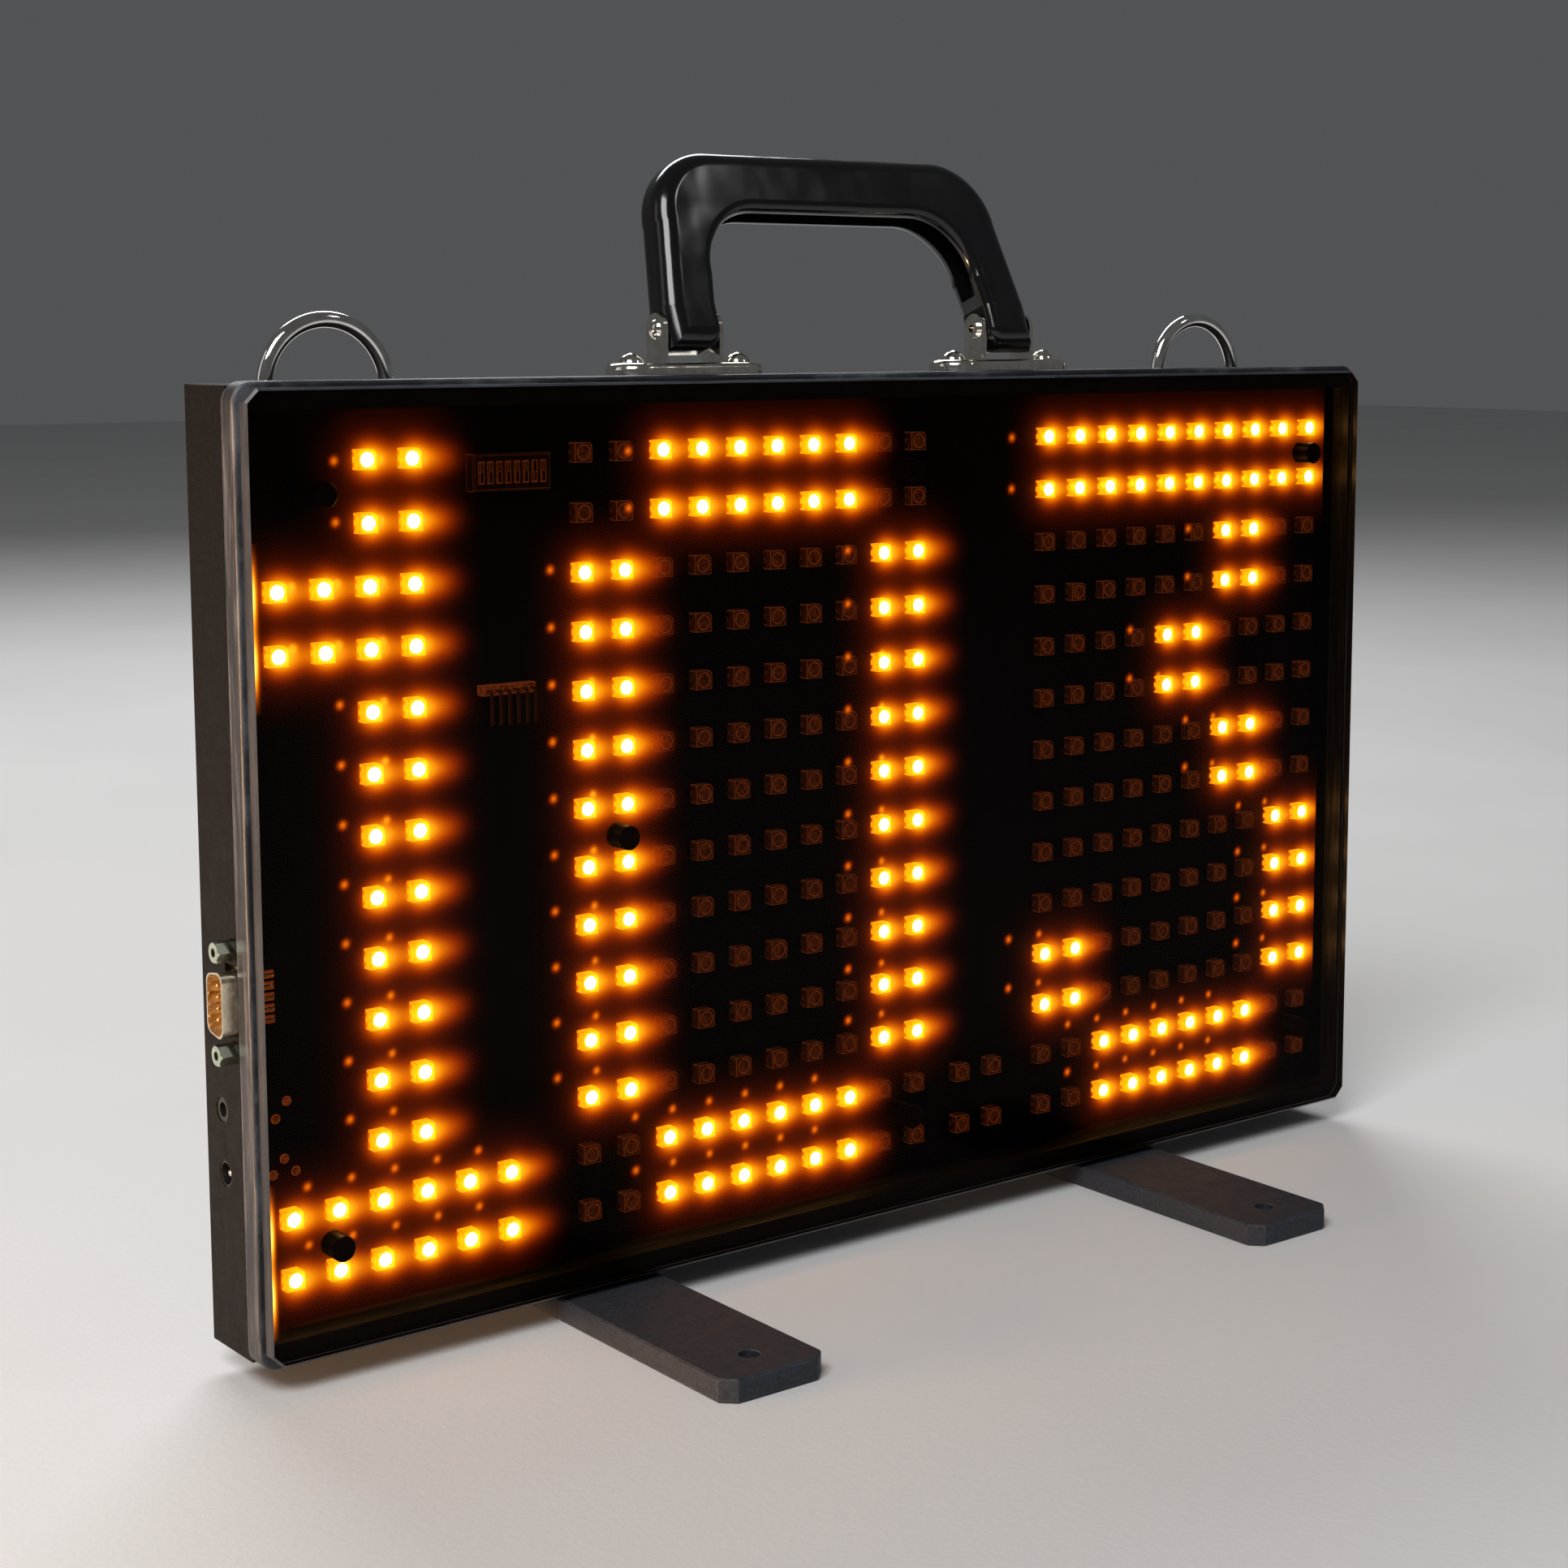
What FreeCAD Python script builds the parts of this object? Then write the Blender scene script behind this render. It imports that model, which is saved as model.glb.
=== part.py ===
import FreeCAD, Part
import math
import os

# Portable LED number display on two flat feet, with a folding carrying handle.
# Millimetres. X runs along the face, -Y is the front, +Z is up, and the feet stand on Z = 0.

V = FreeCAD.Vector
X_AXIS = V(1, 0, 0)
Y_AXIS = V(0, 1, 0)
Z_AXIS = V(0, 0, 1)
RUN_GAP = 0.05
SEAT_GAP = 0.1
THREAD_GAP = 0.02
THROUGH = 1.0

# ---- the screws and nuts that hold the brackets and the feet ----
SCREW_R = 1.95
SCREW_HOLE_R = 2.1
FLAT_HEAD_R = 3.9
DOME_HEAD_R = 3.5
DOME_HEAD_H = 2.6
DOME_SLOT_W = 0.9
NUT_AF = 7.0
NUT_T = 3.2
SCREW_TAIL = 0.6

# ---- feet ----
FOOT_W = 31.0
FOOT_L = 168.0
FOOT_T = 6.0
FOOT_X = 90.5
FOOT_CHAMFER = 3.5
FOOT_EDGE = 0.5
FOOT_HOLE_R = 2.75
FOOT_HOLE_INSET = 12.0
FOOT_SCREW_DX = 9.0
FOOT_SCREW_Y = 5.0
PAD_INSET = 1.0

# ---- case stack, from the front face back ----
FRAME_W = 380.0
FRAME_H = 236.0
FRAME_BASE_Z = 6.2
FRAME_CORNER_R = 5.0
FRAME_EDGE_R = 0.8
FRAME_BAR = 6.6
FRAME_SIDE_BAR = 2.6
PANEL_FRONT_Y = -14.0
PANEL_T = 3.0
PANEL_INSET = 1.5
PANEL_BEVEL = 0.6
PANEL_CORNER = 3.2
GASKET_T = 0.4
GASKET_INSET = 0.3
FRAME_T = 6.0
CASE_INSET = 1.0
CASE_DEPTH = 22.2
WALL = 1.5
BACK_EDGE_R = 1.2
RAIL_T = 4.0
RAIL_DEPTH = 4.4
RAIL_OVERLAP = 0.5
RAIL_END_GAP = 2.0
FRAME_SCREW_X = (-178.0, 0.0, 178.0)
FRAME_SCREW_Y = -1.9
FRAME_SCREW_R = 1.25
FRAME_SCREW_HEAD_R = 2.2
FRAME_SCREW_L = 5.0

PANEL_BACK_Y = PANEL_FRONT_Y + PANEL_T
FRAME_FRONT_Y = PANEL_BACK_Y + GASKET_T
FRAME_BACK_Y = FRAME_FRONT_Y + FRAME_T
CASE_BACK_Y = FRAME_BACK_Y + CASE_DEPTH
CENTRE_Z = FRAME_BASE_Z + FRAME_H / 2
CASE_W = FRAME_W - 2 * CASE_INSET
CASE_H = FRAME_H - 2 * CASE_INSET
CASE_TOP_Z = CENTRE_Z + CASE_H / 2
CASE_BASE_Z = CENTRE_Z - CASE_H / 2
INNER_X = CASE_W / 2 - WALL
INNER_TOP_Z = CASE_TOP_Z - WALL
INNER_BASE_Z = CASE_BASE_Z + WALL
INNER_BACK_Y = CASE_BACK_Y - WALL

# ---- circuit board and the lattice of LEDs ----
BOARD_W = 366.0
BOARD_H = 222.0
BOARD_T = 1.6
BOARD_CORNER_R = 2.0
BOARD_FRONT_Y = -1.0
BOARD_BACK_Y = BOARD_FRONT_Y + BOARD_T
FIRST_LED_X = -176.75
FIRST_LED_Z = 223.0
LED_PITCH_X = 12.2
LED_PITCH_Z = 15.25
LED_SIDE = 5.0
LED_T = 3.0
LED_CUP_R = 1.9
LED_CUP_DEPTH = 0.7
LED_CUT_CORNER = 0.8
LENS_R = 1.8
LENS_RISE = 0.4

# Each cell of a digit is a square of two by two LEDs, and "#" marks the lit ones.
ONE = (" # ", "## ", " # ", " # ", " # ", " # ", "###")
ZERO = (" ### ", "#   #", "#   #", "#   #", "#   #", "#   #", " ### ")
THREE = ("#####", "   # ", "  #  ", "   # ", "    #", "#   #", " ### ")
MIDDLE_COLUMN = 7
RIGHT_COLUMN = 20
POINT_COLUMN = 17.4
POINT_ROW = 12

# The pillars stand halfway between two rows of LEDs: (X, row).
PILLARS = ((-167.0, 0.5), (12.0, 0.5), (172.0, 0.5), (-83.0, 6.5),
           (-167.0, 12.5), (12.0, 12.5), (172.0, 12.5))
PILLAR_R = 3.2
PILLAR_CHAMFER = 0.4
STUD_R = 1.5
STUD_HOLE_R = 1.6
STUD_L = 7.0
STANDOFF_AF = 5.5
STANDOFF_SCREW_L = 5.5
STANDOFF_HEAD_R = 2.8

# ---- chips and supply parts on the back of the board; sizes are along X, along Z, deep ----
CHIP_LIFT = 0.1
CHIP_LEAD_W = 0.4
CHIP_LEAD_T = 0.6
CHIP_LEAD_OUT = 1.2
DRIVER_SIZE = (15.4, 7.5, 2.3)
DRIVER_LEADS = 12
DRIVER_LEFT_X = -148.0
DRIVER_LEFT_Z = (180.0, 140.0)
DRIVER_Z = (190.0, 150.0, 98.0, 58.0)
CONTROLLER_SIZE = (10.0, 10.0, 1.4)
CONTROLLER_LEADS = 11
CONTROLLER_AT = (-112.0, 180.0)
SERIAL_CHIP_SIZE = (9.9, 3.9, 1.6)
SERIAL_CHIP_LEADS = 8
SERIAL_CHIP_AT = (-158.0, 100.0)
REGULATOR_SIZE = (10.0, 8.5, 4.4)
REGULATOR_LEADS = 5
REGULATOR_AT = (-140.0, 58.0)
INDUCTOR_SIDE = 12.5
INDUCTOR_DEPTH = 7.0
INDUCTOR_CORNER_R = 2.5
INDUCTOR_AT = (-120.0, 58.0)
CAPACITOR_BASE_SIDE = 8.4
CAPACITOR_BASE_T = 1.0
CAPACITOR_R = 4.0
CAPACITOR_L = 9.0
CAPACITOR_RIM_R = 0.6
CAPACITOR_Z = 38.0
CAPACITOR_X = (-140.0, -126.0, -112.0)
CRYSTAL_L = 11.0
CRYSTAL_W = 4.6
CRYSTAL_DEPTH = 3.4
CRYSTAL_END_R = 2.2
CRYSTAL_AT = (-94.0, 180.0)

# ---- side sockets, from the top down ----
SERIAL_Z = 95.4
SERIAL_Y = BOARD_FRONT_Y + BOARD_T / 2
SHELL_LONG = 16.9
SHELL_SHORT = 8.4
SHELL_WALL = 0.5
SHELL_OUT = 6.5
SHELL_GAP = 0.3
SHELL_SLANT_DEG = 10
SHELL_CORNER_R = 2.4
SERIAL_PLATE = (0.8, 12.4, 30.8)
JACKSCREW_DZ = 12.5
JACKSCREW_AF = 4.8
JACKSCREW_OUT = 5.0
JACKSCREW_SHANK_R = 1.4
JACKSCREW_SHANK_L = 4.5
JACKSCREW_BORE_R = 1.1
JACKSCREW_BORE_L = 4.0
JACKSCREW_PLATE_R = 1.5
JACKSCREW_WALL_R = 1.7
PIN_PITCH = 2.76
PIN_ROW = 2.84
PIN_R = 0.5
PIN_L = 13.0
PIN_SUNK = 1.6
INSULATOR_FRONT = 1.8
INSULATOR_BACK_Y = 8.0
INSULATOR_BACK_Z = 18.0
SOLDER_L = 3.2
SOLDER_W = 1.9
SOLDER_INSET = 0.6
SOLDER_CHAMFER = 0.35
JACK_NOSE_BACK = 0.3
SIGNAL_Y = 8.2
SIGNAL_Z = 67.0
SIGNAL_HOLE_R = 3.2
SIGNAL_NOSE_R = 3.0
SIGNAL_BODY_L = 12.5
SIGNAL_BODY_W = 6.8
SIGNAL_BODY_BACK = 3.6
SIGNAL_BORE_R = 1.8
SIGNAL_BORE_L = 11.2
SIGNAL_LEADS = ((4.6, 2.0), (8.0, -2.0), (11.0, 2.0))
POWER_Y = 7.4
POWER_Z = 51.2
POWER_HOLE_R = 3.3
POWER_NOSE_R = 3.2
POWER_BODY_L = 14.5
POWER_BODY_W = 9.0
POWER_BODY_BACK = 4.4
POWER_BORE_R = 2.7
POWER_BORE_L = 9.7
POWER_PIN_R = 1.05
POWER_PIN_L = 9.0
POWER_PIN_SUNK = 1.0
POWER_PIN_TIP_R = 0.6
POWER_LEADS = ((7.0, 0.0), (13.0, 0.0), (10.0, 3.6))
LEAD_R = 0.7
LEAD_HOLE_GAP = 0.05
LEAD_OUT = 0.9
LEAD_TIP_R = 0.5
LEAD_MOUND_R = 1.2

# ---- hanging rings ----
RING_R = 16.3
RING_WIRE_R = 2.0
RING_Y = 5.2
RING_CENTRE_Z = CASE_TOP_Z - 1.2
RING_LEG = 7.0
RING_LEFT_X = -158.0
RING_RIGHT_X = 135.0

# ---- handle and its two forked brackets ----
HANDLE_Y = 4.0
PIVOT_Z = 253.8
FORK_X = 54.5
HANDLE_LEAN_DEG = 20.5
GRIP_T = 13.0
GRIP_SIDE_GAP = 0.2
GRIP_KNEE = 5.0
GRIP_WAIST = 5.5
GRIP_EDGE_R = 5.0
GRIP_LIP_R = 2.8
GRIP_TOP = 48.8
GRIP_UNDER = 31.8
GRIP_END = 6.5
GRIP_OUTER_R = 20.0
GRIP_INNER_R = 18.0
GRIP_SIDE_X = 58.7
GRIP_INSIDE_X = 45.2
CHANNEL_W = 6.4
CHANNEL_DEPTH = 6.0
CHANNEL_LOW = 9.0
EAR_GAP = 16.3
EAR_T = 1.2
EAR_R = 4.25
PLATE_L = 46.8
PLATE_W = 16.0
PLATE_T = 4.0
PLATE_SKIN = 1.2
PLATE_EDGE_R = 1.8
PLATE_SCREW_DX = 16.9
RIVET_R = 1.8
RIVET_HEAD_R = 2.6
RIVET_HEAD_H = 1.5
RIVET_COLLAR_R = 2.5
RIVET_COLLAR_H = 0.9
RIVET_BORE_R = 1.1
RIVET_BORE_L = 4.0

# ---- switch block and pin header on the front of the board ----
SWITCH_X = -112.5
SWITCH_Z = 218.8
SWITCH_SIZE = (22.3, 3.4, 9.2)
SWITCH_WAYS = 8
SWITCH_DOWN = 7
SWITCH_CHAMFER = 0.4
GRID = 2.54
SLOT = (1.5, 1.8, 5.4)
SLIDER = (1.1, 2.3, 2.4)
SLIDER_TRAVEL = 2.6
SLIDER_CHAMFER = 0.2
HEADER_X = -114.0
HEADER_Z = 164.5
HEADER_WAYS = 6
HEADER_PIN = 0.64
HEADER_REACH = 5.2
HEADER_DROP = 8.5
HEADER_TAIL = 1.6


def box(x0, x1, y0, y1, z0, z1):
    return Part.makeBox(x1 - x0, y1 - y0, z1 - z0, V(x0, y0, z0))


def block(size, centre):
    """A box of the given size about its centre."""
    corner = V(*centre) - V(*size) * 0.5
    return Part.makeBox(size[0], size[1], size[2], corner)


def rod(radius, start, axis, length):
    return Part.makeCylinder(radius, length, start, axis)


def dome(radius, height, seat, outward):
    """A shallow round cap that stands on its seat."""
    ball_r = (radius * radius + height * height) / (2 * height)
    ball = Part.makeSphere(ball_r, seat + outward * (height - ball_r))
    return ball.common(rod(radius, seat, outward, height + THROUGH))


def polygon(points, thickness_vector):
    """A straight-edged outline pushed along a vector."""
    wire = Part.makePolygon(points + [points[0]])
    return Part.Face(wire).extrude(thickness_vector)


def cut_corners(width, height, corner):
    """The eight corners of a rectangle about zero whose corners are cut at 45 degrees."""
    w = width / 2
    h = height / 2
    c = corner
    return ((w - c, h), (w, h - c), (w, c - h), (w - c, -h),
            (c - w, -h), (-w, c - h), (-w, h - c), (c - w, h))


def cut_corner_plate(width, height, corner, y0, thickness):
    """An upright plate on the case's centre with its four corners cut."""
    outline = cut_corners(width, height, corner)
    points = [V(x, y0, CENTRE_Z + z) for x, z in outline]
    return polygon(points, Y_AXIS * thickness)


def upright_plate(width, height, y0, y1):
    return box(-width / 2, width / 2, y0, y1, CENTRE_Z - height / 2, CENTRE_Z + height / 2)


def edges_along(shape, axis):
    """The straight edges of a shape that run along an axis."""
    found = []
    for edge in shape.Edges:
        if edge.Curve.TypeId != "Part::GeomLine":
            continue
        if abs(abs(edge.tangentAt(edge.FirstParameter).dot(axis)) - 1) < 1e-6:
            found.append(edge)
    return found


def edges_at(shape, axis, level):
    """The edges of a shape that lie wholly at one level along an axis."""
    found = []
    for edge in shape.Edges:
        ends = [edge.valueAt(p) for p in (edge.FirstParameter, edge.LastParameter)]
        middle = edge.valueAt((edge.FirstParameter + edge.LastParameter) / 2)
        if all(abs(p.dot(axis) - level) < 1e-4 for p in ends + [middle]):
            found.append(edge)
    return found


def hexagon(across_flats, start, axis, length):
    """A hexagonal prism along an axis."""
    across = Z_AXIS if abs(axis.x) > 0.5 else X_AXIS
    side = axis.cross(across)
    points = []
    for k in range(6):
        angle = math.radians(60 * k)
        corner = side * math.cos(angle) + across * math.sin(angle)
        points.append(start + corner * (across_flats / math.sqrt(3)))
    return polygon(points, axis * length)


def nut(across_flats, bore_r, start, axis, length):
    return hexagon(across_flats, start, axis, length).cut(rod(bore_r, start, axis, length))


def flat_screw(shank_r, head_r, start, axis, length):
    """A countersunk screw whose head is flush at start and whose shank runs along axis."""
    depth = head_r - shank_r
    head = Part.makeCone(head_r, shank_r, depth, start, axis)
    shank = rod(shank_r, start + axis * depth, axis, length - depth)
    drive = hexagon(shank_r * 1.2, start, axis, depth * 0.8)
    return head.fuse(shank).cut(drive)


def flat_screw_hole(shank_r, head_r, start, axis, length):
    """What is cut away for a countersunk screw."""
    depth = head_r - shank_r
    head = Part.makeCone(head_r + SEAT_GAP, shank_r + SEAT_GAP, depth, start, axis)
    return head.fuse(rod(shank_r + SEAT_GAP, start, axis, length))


def dome_screw(seat, length):
    """A domed screw standing on its seat, with a cross recess and its shank pointing down."""
    head = dome(DOME_HEAD_R, DOME_HEAD_H, seat, Z_AXIS)
    arm = DOME_HEAD_R * 1.1
    top = seat.z + DOME_HEAD_H
    for size in ((arm, DOME_SLOT_W, DOME_HEAD_H), (DOME_SLOT_W, arm, DOME_HEAD_H)):
        head = head.cut(block(size, (seat.x, seat.y, top)))
    return head.fuse(rod(SCREW_R, seat - Z_AXIS * length, Z_AXIS, length + SEAT_GAP))


def led_place(column, row):
    return FIRST_LED_X + column * LED_PITCH_X, FIRST_LED_Z - row * LED_PITCH_Z


def cell_leds(pattern, first_column, wanted):
    """The lattice places of a digit's LEDs whose cells are marked with one of the wanted signs."""
    places = []
    for cell_row, line in enumerate(pattern):
        for cell_column, sign in enumerate(line):
            if sign not in wanted:
                continue
            for k in range(4):
                places.append((first_column + 2 * cell_column + k % 2, 2 * cell_row + k // 2))
    return places


LEFT_LEDS = cell_leds(ONE, 0, "#")
MIDDLE_LEDS = cell_leds(ZERO, MIDDLE_COLUMN, "# ")
RIGHT_LEDS = cell_leds(THREE, RIGHT_COLUMN, "# ")
POINT_LEDS = [(POINT_COLUMN + k % 2, POINT_ROW + k // 2) for k in range(4)]
ALL_LEDS = LEFT_LEDS + MIDDLE_LEDS + RIGHT_LEDS + POINT_LEDS
LIT_LEDS = (LEFT_LEDS + cell_leds(ZERO, MIDDLE_COLUMN, "#") + cell_leds(THREE, RIGHT_COLUMN, "#"))


# ---- case ----
def side_cutouts():
    """What the left wall is pierced by: the serial socket and the two round sockets."""
    outside = V(-CASE_W / 2 - THROUGH, 0, 0)
    reach = WALL + 2 * THROUGH
    half = SHELL_LONG / 2 + SHELL_GAP
    socket = box(outside.x, outside.x + reach, FRAME_BACK_Y - THROUGH,
                 SERIAL_Y + SHELL_SHORT / 2 + SHELL_GAP, SERIAL_Z - half, SERIAL_Z + half)
    tools = [socket]
    for side in (-1, 1):
        start = outside + V(0, SERIAL_Y, SERIAL_Z + side * JACKSCREW_DZ)
        tools.append(rod(JACKSCREW_WALL_R, start, X_AXIS, reach))
    tools.append(rod(SIGNAL_HOLE_R, outside + V(0, SIGNAL_Y, SIGNAL_Z), X_AXIS, reach))
    tools.append(rod(POWER_HOLE_R, outside + V(0, POWER_Y, POWER_Z), X_AXIS, reach))
    return tools


def ring_leg_places():
    places = []
    for centre_x in (RING_LEFT_X, RING_RIGHT_X):
        for side in (-1, 1):
            places.append(V(centre_x + side * RING_R, RING_Y, 0))
    return places


def bracket_screw_places():
    places = []
    for fork in (-1, 1):
        for side in (-1, 1):
            places.append(V(fork * FORK_X + side * PLATE_SCREW_DX, HANDLE_Y, 0))
    return places


def foot_screw_places():
    places = []
    for foot in (-1, 1):
        for side in (-1, 1):
            places.append(V(foot * FOOT_X + side * FOOT_SCREW_DX, FOOT_SCREW_Y, 0))
    return places


def frame_screw_sites():
    """Where the small screws enter the top and bottom walls, and which way they point."""
    sites = []
    for x in FRAME_SCREW_X:
        sites.append((V(x, FRAME_SCREW_Y, CASE_TOP_Z), Z_AXIS * -1))
        sites.append((V(x, FRAME_SCREW_Y, CASE_BASE_Z), Z_AXIS))
    return sites


def pillar_places():
    return [(x, led_place(0, row)[1]) for x, row in PILLARS]


def rear_case():
    """A folded sheet tray, open at the front, that everything else is fixed to."""
    outer = upright_plate(CASE_W, CASE_H, FRAME_BACK_Y, CASE_BACK_Y)
    inner = upright_plate(CASE_W - 2 * WALL, CASE_H - 2 * WALL, FRAME_BACK_Y - THROUGH, INNER_BACK_Y)
    tray = outer.makeFillet(BACK_EDGE_R, edges_at(outer, Y_AXIS, CASE_BACK_Y)).cut(inner)
    tools = side_cutouts()
    reach = WALL + 2 * THROUGH
    for place in ring_leg_places() + bracket_screw_places():
        start = V(place.x, place.y, INNER_TOP_Z - THROUGH)
        tools.append(rod(SCREW_HOLE_R, start, Z_AXIS, reach))
    for place in foot_screw_places():
        start = V(place.x, place.y, CASE_BASE_Z - THROUGH)
        tools.append(rod(SCREW_HOLE_R, start, Z_AXIS, reach))
    for start, axis in frame_screw_sites():
        tools.append(flat_screw_hole(FRAME_SCREW_R, FRAME_SCREW_HEAD_R, start, axis, reach))
    for x, z in pillar_places():
        start = V(x, CASE_BACK_Y, z)
        tools.append(flat_screw_hole(STUD_R, STANDOFF_HEAD_R, start, Y_AXIS * -1, reach))
    return tray.cut(tools)


def front_frame():
    """The bezel ring behind the panel's edge, with two rails that slip inside the tray."""
    plate = upright_plate(FRAME_W, FRAME_H, FRAME_FRONT_Y, FRAME_BACK_Y)
    plate = plate.makeFillet(FRAME_CORNER_R, edges_along(plate, Y_AXIS))
    plate = plate.makeFillet(FRAME_EDGE_R, edges_at(plate, Y_AXIS, FRAME_FRONT_Y))
    window = upright_plate(FRAME_W - 2 * FRAME_SIDE_BAR, FRAME_H - 2 * FRAME_BAR,
                           FRAME_FRONT_Y - THROUGH, FRAME_BACK_Y + THROUGH)
    ring = plate.cut(window).fuse(frame_rails())
    tools = [serial_plate_relief()]
    for start, axis in frame_screw_sites():
        tools.append(rod(FRAME_SCREW_R + THREAD_GAP, start, axis, FRAME_SCREW_L + THROUGH))
    return ring.cut(tools).removeSplitter()


def frame_rails():
    """The two bars behind the bezel that slip just inside the tray's top and bottom walls."""
    rails = []
    for side in (-1, 1):
        outer_z = CENTRE_Z + side * (CASE_H / 2 - WALL - SEAT_GAP)
        inner_z = outer_z - side * RAIL_T
        rail = box(-INNER_X + RAIL_END_GAP, INNER_X - RAIL_END_GAP,
                   FRAME_BACK_Y - RAIL_OVERLAP, FRAME_BACK_Y + RAIL_DEPTH,
                   min(outer_z, inner_z), max(outer_z, inner_z))
        rails.append(rail)
    return rails


def serial_plate_relief():
    """The notch in the bezel that clears the serial socket's mounting plate."""
    depth, width, height = SERIAL_PLATE
    half = height / 2 + SHELL_GAP
    return box(-INNER_X - SEAT_GAP, -INNER_X + FRAME_SIDE_BAR,
               SERIAL_Y - width / 2 - SHELL_GAP, FRAME_BACK_Y + SEAT_GAP,
               SERIAL_Z - half, SERIAL_Z + half)


def frame_screws():
    screws = []
    for start, axis in frame_screw_sites():
        screws.append(flat_screw(FRAME_SCREW_R, FRAME_SCREW_HEAD_R, start, axis, FRAME_SCREW_L))
    return screws


def panel_gasket():
    """A thin black foam strip between the panel and the bezel."""
    outer = cut_corner_plate(FRAME_W - 2 * PANEL_INSET - 2 * GASKET_INSET,
                             FRAME_H - 2 * PANEL_INSET - 2 * GASKET_INSET,
                             PANEL_CORNER, PANEL_BACK_Y, GASKET_T)
    inner = upright_plate(FRAME_W - 2 * FRAME_SIDE_BAR, FRAME_H - 2 * FRAME_BAR,
                          PANEL_BACK_Y - THROUGH, FRAME_FRONT_Y + THROUGH)
    return outer.cut(inner)


def display_panel():
    """The dark see-through front sheet, with cut corners and a bevelled front edge."""
    sheet = cut_corner_plate(FRAME_W - 2 * PANEL_INSET, FRAME_H - 2 * PANEL_INSET,
                             PANEL_CORNER, PANEL_FRONT_Y, PANEL_T)
    return sheet.makeChamfer(PANEL_BEVEL, edges_at(sheet, Y_AXIS, PANEL_FRONT_Y))


# ---- circuit board ----
def display_board():
    """The board, drilled for the studs, the sockets' leads and the header's pins."""
    board = upright_plate(BOARD_W, BOARD_H, BOARD_FRONT_Y, BOARD_BACK_Y)
    board = board.makeFillet(BOARD_CORNER_R, edges_along(board, Y_AXIS))
    front = BOARD_FRONT_Y - THROUGH
    reach = BOARD_T + 2 * THROUGH
    holes = []
    for x, z in pillar_places():
        holes.append(rod(STUD_HOLE_R, V(x, front, z), Y_AXIS, reach))
    for x, z in lead_places():
        holes.append(rod(LEAD_R + LEAD_HOLE_GAP, V(x, front, z), Y_AXIS, reach))
    return board.cut(holes + header_pins())


def led_body(column, row):
    """A square moulded package with a round cup for its lens and one cut corner."""
    x, z = led_place(column, row)
    front = BOARD_FRONT_Y - LED_T
    half = LED_SIDE / 2
    cut = half - LED_CUT_CORNER
    outline = ((-half, -half), (half, -half), (half, cut), (cut, half), (-half, half))
    points = [V(x + dx, front, z + dz) for dx, dz in outline]
    body = polygon(points, Y_AXIS * LED_T)
    cup = rod(LED_CUP_R, V(x, front - THROUGH, z), Y_AXIS, LED_CUP_DEPTH + THROUGH)
    return body.cut(cup)


def led_lens(column, row):
    """A clear disc with a shallow dome, held in the package's cup."""
    x, z = led_place(column, row)
    front = BOARD_FRONT_Y - LED_T
    base = rod(LENS_R, V(x, front, z), Y_AXIS, LED_CUP_DEPTH)
    return base.fuse(dome(LENS_R, LENS_RISE, V(x, front, z), Y_AXIS * -1)).removeSplitter()


def led_bodies(places):
    return [led_body(column, row) for column, row in places]


def led_lenses(places):
    return [led_lens(column, row) for column, row in places]


def panel_pillars():
    """Black spacers that keep the panel off the LEDs, each with a stud through the board."""
    pillars = []
    front = PANEL_BACK_Y + SEAT_GAP
    for x, z in pillar_places():
        post = rod(PILLAR_R, V(x, front, z), Y_AXIS, BOARD_FRONT_Y - front)
        post = post.makeChamfer(PILLAR_CHAMFER, edges_at(post, Y_AXIS, front))
        stud = rod(STUD_R, V(x, BOARD_FRONT_Y - SEAT_GAP, z), Y_AXIS, BOARD_T + STUD_L)
        pillars.append(post.fuse(stud).removeSplitter())
    return pillars


def board_standoffs():
    """Brass spacers between the board and the tray's back, threaded from both ends."""
    posts = []
    length = INNER_BACK_Y - BOARD_BACK_Y
    for x, z in pillar_places():
        start = V(x, BOARD_BACK_Y, z)
        posts.append(nut(STANDOFF_AF, STUD_R + THREAD_GAP, start, Y_AXIS, length))
    return posts


def standoff_screws():
    screws = []
    for x, z in pillar_places():
        start = V(x, CASE_BACK_Y, z)
        screws.append(flat_screw(STUD_R, STANDOFF_HEAD_R, start, Y_AXIS * -1, STANDOFF_SCREW_L))
    return screws


def chip(size, place, leads):
    """A moulded chip on the back of the board, with a row of leads along each long side."""
    width, height, depth = size
    x, z = place
    front = BOARD_BACK_Y + CHIP_LIFT
    body = box(x - width / 2, x + width / 2, front, front + depth, z - height / 2, z + height / 2)
    reach = height / 2 + CHIP_LEAD_OUT
    pitch = width / leads
    rows = []
    for k in range(leads):
        low_x = x + (k - (leads - 1) / 2) * pitch - CHIP_LEAD_W / 2
        rows.append(box(low_x, low_x + CHIP_LEAD_W, BOARD_BACK_Y, BOARD_BACK_Y + CHIP_LEAD_T,
                        z - reach, z + reach))
    return body.fuse(rows)


def driver_chips():
    """The chips that switch the LEDs: two behind the left digit, four behind each other one."""
    places = [(DRIVER_LEFT_X, z) for z in DRIVER_LEFT_Z]
    for column in (MIDDLE_COLUMN, RIGHT_COLUMN):
        middle_x = led_place(column + 4.5, 0)[0]
        places += [(middle_x, z) for z in DRIVER_Z]
    return [chip(DRIVER_SIZE, place, DRIVER_LEADS) for place in places]


def power_inductor():
    x, z = INDUCTOR_AT
    size = (INDUCTOR_SIDE, INDUCTOR_DEPTH, INDUCTOR_SIDE)
    body = block(size, (x, BOARD_BACK_Y + INDUCTOR_DEPTH / 2, z))
    return body.makeFillet(INDUCTOR_CORNER_R, edges_along(body, Y_AXIS))


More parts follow.
